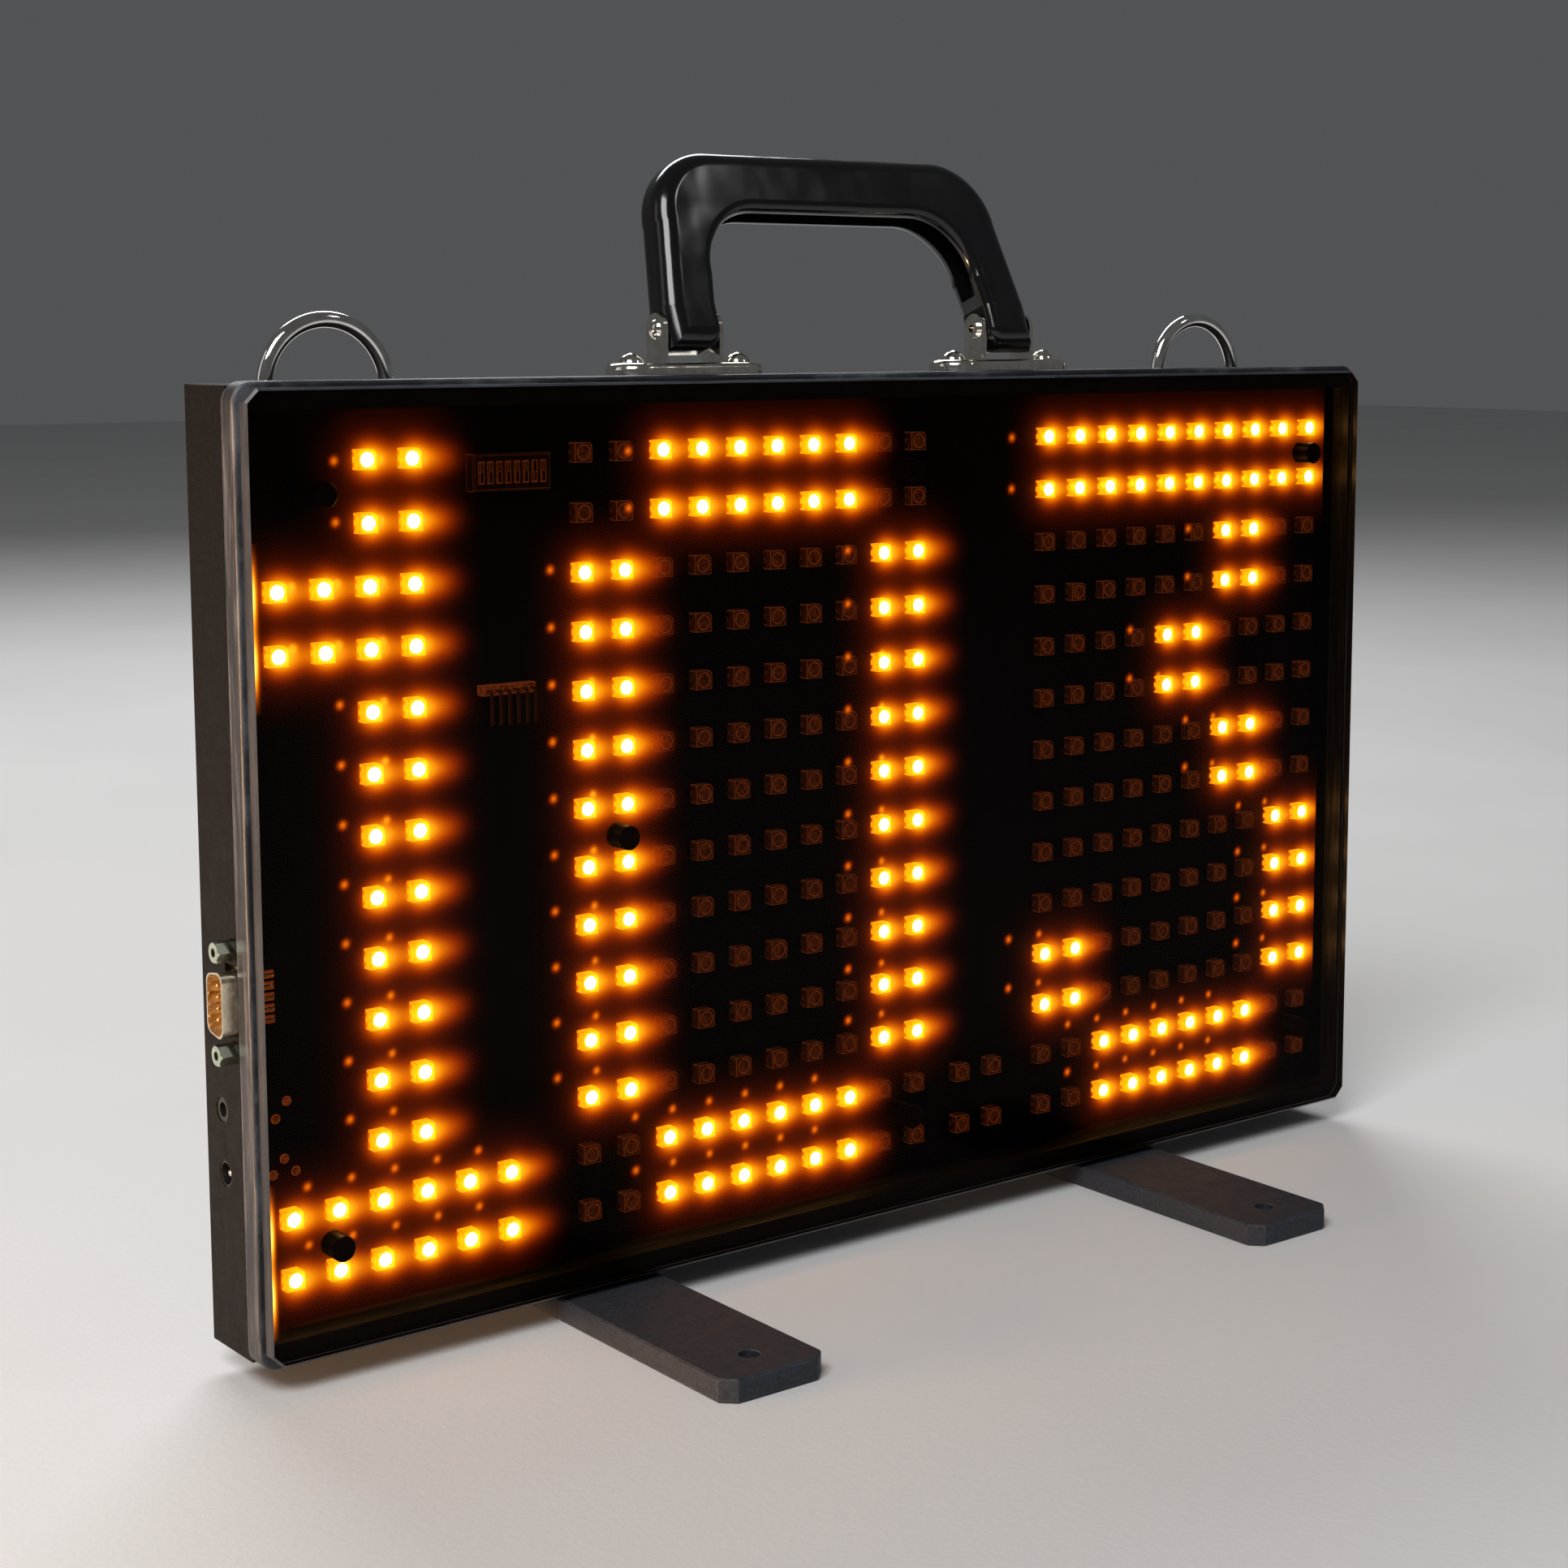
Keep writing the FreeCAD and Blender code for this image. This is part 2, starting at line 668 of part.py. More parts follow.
def supply_capacitors():
    """Round cans, each on a square moulded base."""
    cans = []
    side = CAPACITOR_BASE_SIDE
    for x in CAPACITOR_X:
        base_y = BOARD_BACK_Y + CAPACITOR_BASE_T / 2
        base = block((side, CAPACITOR_BASE_T, side), (x, base_y, CAPACITOR_Z))
        start = V(x, BOARD_BACK_Y + CAPACITOR_BASE_T, CAPACITOR_Z)
        can = rod(CAPACITOR_R, start, Y_AXIS, CAPACITOR_L)
        can = can.makeFillet(CAPACITOR_RIM_R, edges_at(can, Y_AXIS, start.y + CAPACITOR_L))
        cans.append(base.fuse(can))
    return cans


def clock_crystal():
    x, z = CRYSTAL_AT
    middle_y = BOARD_BACK_Y + CHIP_LIFT + CRYSTAL_DEPTH / 2
    can = block((CRYSTAL_L, CRYSTAL_DEPTH, CRYSTAL_W), (x, middle_y, z))
    return can.makeFillet(CRYSTAL_END_R, edges_along(can, Y_AXIS))


# ---- switch block and header ----
def slider_x(way):
    return SWITCH_X + (way - (SWITCH_WAYS + 1) / 2) * GRID


def switch_front_y():
    return BOARD_FRONT_Y - SWITCH_SIZE[1]


def switch_block():
    """The switch's moulding, with one slot for each slider."""
    y0 = switch_front_y()
    body = block(SWITCH_SIZE, (SWITCH_X, BOARD_FRONT_Y - SWITCH_SIZE[1] / 2, SWITCH_Z))
    body = body.makeChamfer(SWITCH_CHAMFER, edges_at(body, Y_AXIS, y0))
    slots = []
    for way in range(1, SWITCH_WAYS + 1):
        slots.append(block((SLOT[0], 2 * SLOT[1], SLOT[2]), (slider_x(way), y0, SWITCH_Z)))
    return body.cut(slots)


def switch_slider(way):
    """One slider. It rests at the top of its slot, except the one that is set down."""
    side = -1 if way == SWITCH_DOWN else 1
    z = SWITCH_Z + side * SLIDER_TRAVEL / 2
    y = switch_front_y() + SLOT[1] - SEAT_GAP - SLIDER[1] / 2
    body = block(SLIDER, (slider_x(way), y, z))
    return body.makeChamfer(SLIDER_CHAMFER, edges_at(body, Y_AXIS, y - SLIDER[1] / 2))


def header_body():
    size = (HEADER_WAYS * GRID, GRID, GRID)
    body = block(size, (HEADER_X, BOARD_FRONT_Y - GRID / 2, HEADER_Z))
    return body.cut(header_pins())


def header_pins():
    """Square pins that pass through the board, stand forward and then bend down."""
    half = HEADER_PIN / 2
    tip_y = BOARD_FRONT_Y - HEADER_REACH
    tail_y = BOARD_BACK_Y + HEADER_TAIL
    pins = []
    for k in range(HEADER_WAYS):
        x = HEADER_X + (k - (HEADER_WAYS - 1) / 2) * GRID
        forward = box(x - half, x + half, tip_y, tail_y, HEADER_Z - half, HEADER_Z + half)
        down = box(x - half, x + half, tip_y, tip_y + HEADER_PIN, HEADER_Z - HEADER_DROP, HEADER_Z)
        pin = forward.fuse(down).removeSplitter()
        bend = [e for e in edges_along(pin, X_AXIS) if e.BoundBox.YMin < tip_y + 1e-4
                and e.BoundBox.ZMin > HEADER_Z]
        pins.append(pin.makeFillet(HEADER_PIN * 0.9, bend))
    return pins


# ---- side sockets ----
def d_outline(long_side, short_side, x0, depth):
    """The D-shaped section of the serial socket, wider towards the front, pushed along +X."""
    slant = short_side * math.tan(math.radians(SHELL_SLANT_DEG))
    front_y = SERIAL_Y - short_side / 2
    back_y = SERIAL_Y + short_side / 2
    half = long_side / 2
    outline = ((front_y, -half), (front_y, half), (back_y, half - slant), (back_y, slant - half))
    body = polygon([V(x0, y, SERIAL_Z + z) for y, z in outline], X_AXIS * depth)
    return body.makeFillet(SHELL_CORNER_R, edges_along(body, X_AXIS))


def serial_shell():
    """The plated shell of the nine-pin socket and its mounting plate behind the wall."""
    plate_t, plate_w, plate_h = SERIAL_PLATE
    mouth_x = -INNER_X - SHELL_OUT
    tube = d_outline(SHELL_LONG, SHELL_SHORT, mouth_x, SHELL_OUT + plate_t)
    plate = box(-INNER_X, -INNER_X + plate_t, SERIAL_Y - plate_w / 2, SERIAL_Y + plate_w / 2,
                SERIAL_Z - plate_h / 2, SERIAL_Z + plate_h / 2)
    tools = [d_outline(SHELL_LONG - 2 * SHELL_WALL, SHELL_SHORT - 2 * SHELL_WALL,
                       mouth_x - THROUGH, SHELL_OUT + plate_t + 2 * THROUGH)]
    for side in (-1, 1):
        start = V(-INNER_X - THROUGH, SERIAL_Y, SERIAL_Z + side * JACKSCREW_DZ)
        tools.append(rod(JACKSCREW_PLATE_R, start, X_AXIS, plate_t + 2 * THROUGH))
    return tube.fuse(plate).cut(tools)


def serial_pin_places():
    """A row of five contacts in front of a row of four."""
    places = []
    for k in range(5):
        places.append((SERIAL_Y - PIN_ROW / 2, SERIAL_Z + (k - 2) * PIN_PITCH))
    for k in range(4):
        places.append((SERIAL_Y + PIN_ROW / 2, SERIAL_Z + (k - 1.5) * PIN_PITCH))
    return places


def serial_pins():
    """Nine round contacts, whose tails straddle the edge of the board."""
    pins = []
    for y, z in serial_pin_places():
        tip = V(-INNER_X - SHELL_OUT + PIN_SUNK, y, z)
        pins.append(rod(PIN_R, tip, X_AXIS, PIN_L).fuse(Part.makeSphere(PIN_R, tip)))
    return pins


def serial_solder():
    """A mound of solder over each contact's tail where it lies on the board."""
    x0 = -BOARD_W / 2 + SOLDER_INSET
    contacts = serial_pins()
    mounds = []
    for y, z in serial_pin_places():
        front = y < SERIAL_Y
        low = y - SEAT_GAP if front else BOARD_BACK_Y
        high = BOARD_FRONT_Y if front else y + SEAT_GAP
        mound = box(x0, x0 + SOLDER_L, low, high, z - SOLDER_W / 2, z + SOLDER_W / 2)
        mound = mound.makeChamfer(SOLDER_CHAMFER, edges_at(mound, Y_AXIS, low if front else high))
        mounds.append(mound.cut(contacts))
    return mounds


def serial_insulator():
    """The moulding that fills the foot of the shell and holds the contacts."""
    plate_t = SERIAL_PLATE[0]
    clear = 2 * SHELL_WALL + 2 * RUN_GAP
    plug = d_outline(SHELL_LONG - clear, SHELL_SHORT - clear,
                     -INNER_X - INSULATOR_FRONT, INSULATOR_FRONT + plate_t)
    back = box(-INNER_X + plate_t, -BOARD_W / 2 - SEAT_GAP,
               SERIAL_Y - INSULATOR_BACK_Y / 2, SERIAL_Y + INSULATOR_BACK_Y / 2,
               SERIAL_Z - INSULATOR_BACK_Z / 2, SERIAL_Z + INSULATOR_BACK_Z / 2)
    holes = []
    for y, z in serial_pin_places():
        start = V(-INNER_X - INSULATOR_FRONT - THROUGH, y, z)
        holes.append(rod(PIN_R + THREAD_GAP, start, X_AXIS, PIN_L))
    return plug.fuse(back).cut(holes)


def serial_jackscrews():
    """The two hexagonal pillars that a cable's screws turn into, tapered at the tip."""
    outer_x = -CASE_W / 2 - JACKSCREW_OUT
    screws = []
    for side in (-1, 1):
        tip = V(outer_x, SERIAL_Y, SERIAL_Z + side * JACKSCREW_DZ)
        taper = Part.makeCone(JACKSCREW_AF * 0.5, JACKSCREW_AF * 1.4, JACKSCREW_OUT, tip, X_AXIS)
        head = hexagon(JACKSCREW_AF, tip, X_AXIS, JACKSCREW_OUT).common(taper)
        shank_start = tip + X_AXIS * (JACKSCREW_OUT - SEAT_GAP)
        shank = rod(JACKSCREW_SHANK_R, shank_start, X_AXIS, JACKSCREW_SHANK_L)
        bore = rod(JACKSCREW_BORE_R, tip - X_AXIS * THROUGH, X_AXIS, JACKSCREW_BORE_L + THROUGH)
        screws.append(head.fuse(shank).cut(bore).removeSplitter())
    return screws


def jack_body(y, z, nose_r, length, width, back, bore_r, bore_l):
    """A socket's square moulding behind the wall, its round nose in the wall, and its bore."""
    mouth = V(-CASE_W / 2 + JACK_NOSE_BACK, y, z)
    nose = rod(nose_r, mouth, X_AXIS, WALL)
    body = box(-INNER_X + SEAT_GAP, -INNER_X + length, BOARD_BACK_Y, y + back,
               z - width / 2, z + width / 2)
    bore = rod(bore_r, mouth - X_AXIS * THROUGH, X_AXIS, bore_l + THROUGH)
    return body.fuse(nose).cut(bore)


def power_jack_body():
    """The barrel power inlet."""
    return jack_body(POWER_Y, POWER_Z, POWER_NOSE_R, POWER_BODY_L, POWER_BODY_W,
                     POWER_BODY_BACK, POWER_BORE_R, POWER_BORE_L)


def signal_jack_body():
    """The small round socket above the power inlet."""
    return jack_body(SIGNAL_Y, SIGNAL_Z, SIGNAL_NOSE_R, SIGNAL_BODY_L, SIGNAL_BODY_W,
                     SIGNAL_BODY_BACK, SIGNAL_BORE_R, SIGNAL_BORE_L)


def power_jack_pin():
    """The round contact that stands in the middle of the power inlet's bore."""
    start = V(-CASE_W / 2 + POWER_PIN_SUNK, POWER_Y, POWER_Z)
    pin = rod(POWER_PIN_R, start, X_AXIS, POWER_PIN_L)
    return pin.makeFillet(POWER_PIN_TIP_R, edges_at(pin, X_AXIS, start.x))


def lead_places():
    """Where the two round sockets' leads pass through the board."""
    places = []
    for leads, z in ((POWER_LEADS, POWER_Z), (SIGNAL_LEADS, SIGNAL_Z)):
        places += [(-INNER_X + dx, z + dz) for dx, dz in leads]
    return places


def jack_leads():
    """Leads that pass through the board and end in a small mound of solder on its front."""
    leads = []
    for x, z in lead_places():
        tip = V(x, BOARD_FRONT_Y - LEAD_OUT, z)
        mound = Part.makeCone(LEAD_TIP_R, LEAD_MOUND_R, LEAD_OUT, tip, Y_AXIS)
        lead = rod(LEAD_R, tip + Y_AXIS * (LEAD_OUT / 2), Y_AXIS, BOARD_T + LEAD_OUT / 2)
        leads.append(lead.fuse(mound).removeSplitter())
    return leads


# ---- hanging rings ----
def hanging_ring(centre_x):
    """A bent wire eye: half a circle on two straight legs that pass through the top wall."""
    centre = V(centre_x, RING_Y, RING_CENTRE_Z)
    left = centre - X_AXIS * RING_R
    right = centre + X_AXIS * RING_R
    drop = Z_AXIS * RING_LEG
    path = Part.Wire([
        Part.LineSegment(left - drop, left).toShape(),
        Part.Arc(left, centre + Z_AXIS * RING_R, right).toShape(),
        Part.LineSegment(right, right - drop).toShape(),
    ])
    profile = Part.Wire([Part.makeCircle(RING_WIRE_R, left - drop, Z_AXIS)])
    return path.makePipeShell([profile], True, False)


def ring_nuts():
    nuts = []
    for place in ring_leg_places():
        start = V(place.x, place.y, INNER_TOP_Z)
        nuts.append(nut(NUT_AF, RING_WIRE_R + THREAD_GAP, start, Z_AXIS * -1, NUT_T))
    return nuts


# ---- handle ----
def quarter(centre, radius):
    """The side, middle and top points of a quarter circle."""
    turn = radius * math.cos(math.radians(45))
    return centre + V(radius, 0, 0), centre + V(turn, 0, turn), centre + V(0, 0, radius)


def line(start, end):
    return Part.LineSegment(start, end).toShape()


def flip(point):
    return V(-point.x, point.y, point.z)


def grip_outline():
    """The handle's side view, upright on its pivots, as an arch."""
    outer = quarter(V(GRIP_SIDE_X - GRIP_OUTER_R, 0, GRIP_TOP - GRIP_OUTER_R), GRIP_OUTER_R)
    inner = quarter(V(GRIP_INSIDE_X - GRIP_INNER_R, 0, GRIP_UNDER - GRIP_INNER_R), GRIP_INNER_R)
    leg_out = FORK_X + EAR_GAP / 2 - GRIP_SIDE_GAP
    leg_in = FORK_X - EAR_GAP / 2 + GRIP_SIDE_GAP
    end_in = V(leg_in, 0, -GRIP_END)
    end_out = V(leg_out, 0, -GRIP_END)
    knee = V(leg_out, 0, GRIP_KNEE)
    waist = V(leg_in, 0, GRIP_WAIST)
    half = [
        line(end_in, end_out),
        line(end_out, knee),
        line(knee, outer[0]),
        Part.Arc(*outer).toShape(),
        Part.Arc(*inner).toShape(),
        line(inner[0], waist),
        line(waist, end_in),
    ]
    other_half = [edge.mirror(V(0, 0, 0), X_AXIS) for edge in half]
    bridges = [line(outer[2], flip(outer[2])), line(inner[2], flip(inner[2]))]
    return Part.Wire(Part.__sortEdges__(half + other_half + bridges))


def channel_tool():
    """The hollow along the inner side of the arch."""
    w = CHANNEL_W / 2
    flat = GRIP_INSIDE_X - GRIP_INNER_R
    bend_z = GRIP_UNDER - GRIP_INNER_R
    radius = GRIP_INNER_R + CHANNEL_DEPTH
    tools = [box(-flat, flat, -w, w, CHANNEL_LOW, bend_z + radius),
             box(-flat - radius, flat + radius, -w, w, CHANNEL_LOW, bend_z)]
    for side in (-1, 1):
        bend = rod(radius, V(side * flat, -w, bend_z), Y_AXIS, CHANNEL_W)
        below = box(-2 * GRIP_SIDE_X, 2 * GRIP_SIDE_X, -GRIP_T, GRIP_T, bend_z - radius, CHANNEL_LOW)
        tools.append(bend.cut(below))
    return tools


def lean(shape):
    """Turn a part of the upright handle to the angle at which it rests, about its pivots."""
    shape.translate(V(0, HANDLE_Y, PIVOT_Z))
    shape.rotate(V(0, HANDLE_Y, PIVOT_Z), X_AXIS, -HANDLE_LEAN_DEG)
    return shape


def is_inner_rim(edge):
    """True for an edge of the arch's inner, hand side."""
    middle = edge.valueAt((edge.FirstParameter + edge.LastParameter) / 2)
    return abs(middle.x) < FORK_X - EAR_GAP / 2 + 1 and middle.z < GRIP_UNDER + 1


def is_outer_rim(edge):
    """True for an edge of the arch's outer side or of a leg's end."""
    middle = edge.valueAt((edge.FirstParameter + edge.LastParameter) / 2)
    return abs(middle.x) > FORK_X - 1 or middle.z > GRIP_UNDER + GRIP_EDGE_R


def handle_grip():
    """A glossy moulded arch with rounded edges and a hollow inner side."""
    arch = Part.Face(grip_outline()).extrude(Y_AXIS * GRIP_T)
    arch.translate(Y_AXIS * (-GRIP_T / 2))
    rims = edges_at(arch, Y_AXIS, -GRIP_T / 2) + edges_at(arch, Y_AXIS, GRIP_T / 2)
    lips = [edge for edge in rims if is_inner_rim(edge)]
    arch = arch.makeFillet(GRIP_LIP_R, lips)
    rims = edges_at(arch, Y_AXIS, -GRIP_T / 2) + edges_at(arch, Y_AXIS, GRIP_T / 2)
    arch = arch.makeFillet(GRIP_EDGE_R, [edge for edge in rims if is_outer_rim(edge)])
    tools = channel_tool()
    for side in (-1, 1):
        start = V(side * FORK_X - EAR_GAP, 0, 0)
        tools.append(rod(RIVET_R + RUN_GAP, start, X_AXIS, 2 * EAR_GAP))
    return lean(arch.cut(tools))


def obround(length, width, height, base):
    """An upright slab with round ends, its foot centred on base."""
    straight = (length - width) / 2
    body = box(base.x - straight, base.x + straight, base.y - width / 2, base.y + width / 2,
               base.z, base.z + height)
    ends = [rod(width / 2, base + V(s * straight, 0, 0), Z_AXIS, height) for s in (-1, 1)]
    return body.fuse(ends).removeSplitter()


def fork_bracket(side):
    """A pressed, dished plate with two upright ears."""
    x = side * FORK_X
    top = CASE_TOP_Z + PLATE_T
    base = V(x, HANDLE_Y, CASE_TOP_Z)
    plate = obround(PLATE_L, PLATE_W, PLATE_T, base)
    plate = plate.makeFillet(PLATE_EDGE_R, edges_at(plate, Z_AXIS, top))
    dish = obround(PLATE_L - 2 * PLATE_SKIN, PLATE_W - 2 * PLATE_SKIN, PLATE_T - PLATE_SKIN, base)
    ears = []
    for ear in (-1, 1):
        near = x + ear * (EAR_GAP / 2 + EAR_T / 2) - EAR_T / 2
        upright = box(near, near + EAR_T, HANDLE_Y - EAR_R, HANDLE_Y + EAR_R,
                      top - PLATE_SKIN / 2, PIVOT_Z)
        ears.append(upright.fuse(rod(EAR_R, V(near, HANDLE_Y, PIVOT_Z), X_AXIS, EAR_T)))
    bracket = plate.cut(dish).fuse(ears).removeSplitter()
    pivot = V(x - EAR_GAP, HANDLE_Y, PIVOT_Z)
    tools = [rod(RIVET_R + THREAD_GAP, pivot, X_AXIS, 2 * EAR_GAP)]
    for s in (-1, 1):
        start = base + X_AXIS * (s * PLATE_SCREW_DX)
        tools.append(rod(SCREW_HOLE_R, start, Z_AXIS, PLATE_T + THROUGH))
    return bracket.cut(tools)


def pivot_rivet(side):
    """A rivet with a domed head outboard and a rolled hollow end inboard."""
    ear_face = EAR_GAP / 2 + EAR_T
    outward = X_AXIS * side
    centre = V(side * FORK_X, HANDLE_Y, PIVOT_Z)
    inner_face = centre - outward * ear_face
    inner_end = inner_face - outward * RIVET_COLLAR_H
    shank_l = 2 * ear_face + RIVET_COLLAR_H + RIVET_HEAD_H / 2
    shank = rod(RIVET_R, inner_end, outward, shank_l)
    head = dome(RIVET_HEAD_R, RIVET_HEAD_H, centre + outward * ear_face, outward)
    collar = rod(RIVET_COLLAR_R, inner_end, outward, RIVET_COLLAR_H)
    bore = rod(RIVET_BORE_R, inner_end, outward, RIVET_BORE_L)
    return shank.fuse([head, collar]).cut(bore).removeSplitter()


def bracket_screws():
    length = PLATE_T + WALL + NUT_T + SCREW_TAIL
    screws = []
    for place in bracket_screw_places():
        screws.append(dome_screw(V(place.x, place.y, CASE_TOP_Z + PLATE_T), length))
    return screws


def bracket_nuts():
    nuts = []
    for place in bracket_screw_places():
        start = V(place.x, place.y, INNER_TOP_Z)
        nuts.append(nut(NUT_AF, SCREW_R + THREAD_GAP, start, Z_AXIS * -1, NUT_T))
    return nuts


# ---- feet ----
def foot(side):
    """A flat bar across the case with cut corners and a hole near each end."""
    x = side * FOOT_X
    outline = cut_corners(FOOT_W, FOOT_L, FOOT_CHAMFER)
    bar = polygon([V(x + dx, dy, 0) for dx, dy in outline], Z_AXIS * FOOT_T)
    rims = edges_at(bar, Z_AXIS, FOOT_T) + edges_at(bar, Z_AXIS, 0)
    bar = bar.makeChamfer(FOOT_EDGE, rims)
    tools = []
    for end in (-1, 1):
        start = V(x, end * (FOOT_L / 2 - FOOT_HOLE_INSET), -THROUGH)
        tools.append(rod(FOOT_HOLE_R, start, Z_AXIS, FOOT_T + 2 * THROUGH))
    for place in foot_screw_places():
        tools.append(flat_screw_hole(SCREW_R, FLAT_HEAD_R, place, Z_AXIS, FOOT_T + THROUGH))
    return bar.cut(tools)


def foot_pads():
    """Thin fibre pads that fill the step between the bezel and the tray above each foot."""
    holes = []
    for place in foot_screw_places():
        holes.append(rod(SCREW_HOLE_R, place, Z_AXIS, CASE_BASE_Z + THROUGH))
    pads = []
    for side in (-1, 1):
        half = FOOT_W / 2 - PAD_INSET
        pad = box(side * FOOT_X - half, side * FOOT_X + half,
                  FRAME_BACK_Y + PAD_INSET, CASE_BACK_Y - PAD_INSET, FOOT_T, CASE_BASE_Z)
        pads.append(pad.cut(holes))
    return pads


def foot_screws():
    length = INNER_BASE_Z + NUT_T + SCREW_TAIL
    return [flat_screw(SCREW_R, FLAT_HEAD_R, place, Z_AXIS, length) for place in foot_screw_places()]


def foot_nuts():
    nuts = []
    for place in foot_screw_places():
        start = V(place.x, place.y, INNER_BASE_Z)
        nuts.append(nut(NUT_AF, SCREW_R + THREAD_GAP, start, Z_AXIS, NUT_T))
    return nuts


def build():
    unlit = [place for place in ALL_LEDS if place not in LIT_LEDS]
    nodes = {
        "rear_case": rear_case(),
        "front_frame": front_frame(),
        "frame_screws": frame_screws(),
        "panel_gasket": panel_gasket(),
        "display_panel": display_panel(),
        "display_board": display_board(),
        "leds_left_digit": led_bodies(LEFT_LEDS),
        "leds_middle_digit": led_bodies(MIDDLE_LEDS),
        "leds_right_digit": led_bodies(RIGHT_LEDS),
        "leds_decimal_point": led_bodies(POINT_LEDS),
        "led_lenses_lit": led_lenses(LIT_LEDS),
        "led_lenses_unlit": led_lenses(unlit),
        "panel_pillars": panel_pillars(),
        "board_standoffs": board_standoffs(),
        "standoff_screws": standoff_screws(),
        "driver_chips": driver_chips(),
        "controller_chip": chip(CONTROLLER_SIZE, CONTROLLER_AT, CONTROLLER_LEADS),
        "serial_chip": chip(SERIAL_CHIP_SIZE, SERIAL_CHIP_AT, SERIAL_CHIP_LEADS),
        "regulator_chip": chip(REGULATOR_SIZE, REGULATOR_AT, REGULATOR_LEADS),
        "power_inductor": power_inductor(),
        "supply_capacitors": supply_capacitors(),
        "clock_crystal": clock_crystal(),
        "switch_block": switch_block(),
        "header_body": header_body(),
        "header_pins": header_pins(),
        "serial_shell": serial_shell(),
        "serial_insulator": serial_insulator(),
        "serial_pins": serial_pins(),
        "serial_solder": serial_solder(),
        "serial_jackscrews": serial_jackscrews(),
        "power_jack_body": power_jack_body(),
        "power_jack_pin": power_jack_pin(),
        "signal_jack_body": signal_jack_body(),
        "jack_leads": jack_leads(),
        "ring_left": hanging_ring(RING_LEFT_X),
        "ring_right": hanging_ring(RING_RIGHT_X),
        "ring_nuts": ring_nuts(),
        "handle_grip": handle_grip(),
        "bracket_left": fork_bracket(-1),
        "bracket_right": fork_bracket(1),
        "pivot_rivet_left": pivot_rivet(-1),
        "pivot_rivet_right": pivot_rivet(1),
        "bracket_screws": bracket_screws(),
        "bracket_nuts": bracket_nuts(),
        "foot_left": foot(-1),
        "foot_right": foot(1),
        "foot_pads": foot_pads(),
        "foot_screws": foot_screws(),
        "foot_nuts": foot_nuts(),
    }
    for way in range(1, SWITCH_WAYS + 1):
        nodes["switch_slider_%d" % way] = switch_slider(way)
    return nodes


os.makedirs("parts", exist_ok=True)
for node, made in build().items():
    shape = Part.makeCompound(made) if isinstance(made, list) else made
    shape.exportStep("parts/%s.step" % node)
    print("%-20s solids %3d  volume %10.1f  valid %s" % (
        node, len(shape.Solids), shape.Volume, shape.isValid()))
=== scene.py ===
import math

import bmesh
import bpy
from mathutils import Matrix, Vector


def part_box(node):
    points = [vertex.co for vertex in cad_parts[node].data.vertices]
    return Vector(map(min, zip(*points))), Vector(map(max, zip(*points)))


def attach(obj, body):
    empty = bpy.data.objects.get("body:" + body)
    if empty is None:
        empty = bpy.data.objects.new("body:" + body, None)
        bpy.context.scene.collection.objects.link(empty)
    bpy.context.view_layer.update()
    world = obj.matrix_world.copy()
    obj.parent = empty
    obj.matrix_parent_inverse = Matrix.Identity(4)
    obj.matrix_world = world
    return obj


# Looks for a portable LED number display. Metres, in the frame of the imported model.

# ---- camera, as in the photograph ----
CAMERA_AT = (-0.47105, -0.5979, 0.2563)
CAMERA_TURN_DEG = (82.644, -0.065, -38.922)
LENS_MM = 63.49
LENS_SHIFT = (-0.0684, -0.0683)

# ---- the lattice of LEDs, as in the part ----
FIRST_LED = (-0.17675, 0.223)
PITCH_X = 0.0122
PITCH_Z = 0.01525
LED_HALF = 0.0025
ONE = (" # ", "## ", " # ", " # ", " # ", " # ", "###")
ZERO = (" ### ", "#   #", "#   #", "#   #", "#   #", "#   #", " ### ")
THREE = ("#####", "   # ", "  #  ", "   # ", "    #", "#   #", " ### ")
DIGITS = ((ONE, 0), (ZERO, 7), (THREE, 20))
POINT = ((17.4, 12), (18.4, 12), (17.4, 13), (18.4, 13))

# ---- metal leads on the LED packages ----
LEAD_UP = 0.0013
LEAD_HALF_HEIGHT = 0.0006
LEAD_UNDER = 0.0002
LEAD_OUT = 0.0007
LEAD_DEPTH = 0.0010
BOX_EDGE_SHARE = 0.2

# ---- halos, on a layer 0.1 mm ahead of the lenses ----
PAINTED_GLOW_AHEAD = 0.0035
HALO_STEP = 0.0006
HALO_REACH = 0.018
HALO_RADIUS = 0.0034
HALO_STRENGTH = 2.4
TAIL_SHARE = 0.44
TAIL_RADIUS = 0.0031
TAIL_SHIFT = 0.0042
TAIL_FLATNESS = 0.36
SPREAD_SHARE = 0.045
SPREAD_RADIUS = 0.0080

# ---- small second images on the same layer; their places were set from the photograph ----
# painted reflections: each lit LED's small second image is painted as glow at a fixed offset from
# it
GLINT_SHARE = 0.60
GLINT_RADIUS = 0.0009
GLINT_REACH = 0.003
GLINT_SHIFT = -0.0131
GLINT_DRIFT = -0.026
GLINT_RISE = 0.00065

# ---- light caught by the sheet's left edge ----
STRIP_INSET = 0.0011
STRIP_WIDTH = 0.006
STRIP_END_GAP = 0.006
STRIP_BEHIND = 0.0001
STRIP_STEP = 0.0003
STRIP_STRENGTH = 5.0
CATCH_AT = 0.001
CATCH_REACH = 0.012
CATCH_HALF_WIDTH = 0.0008
CATCH_HALF_HEIGHT = 0.0060

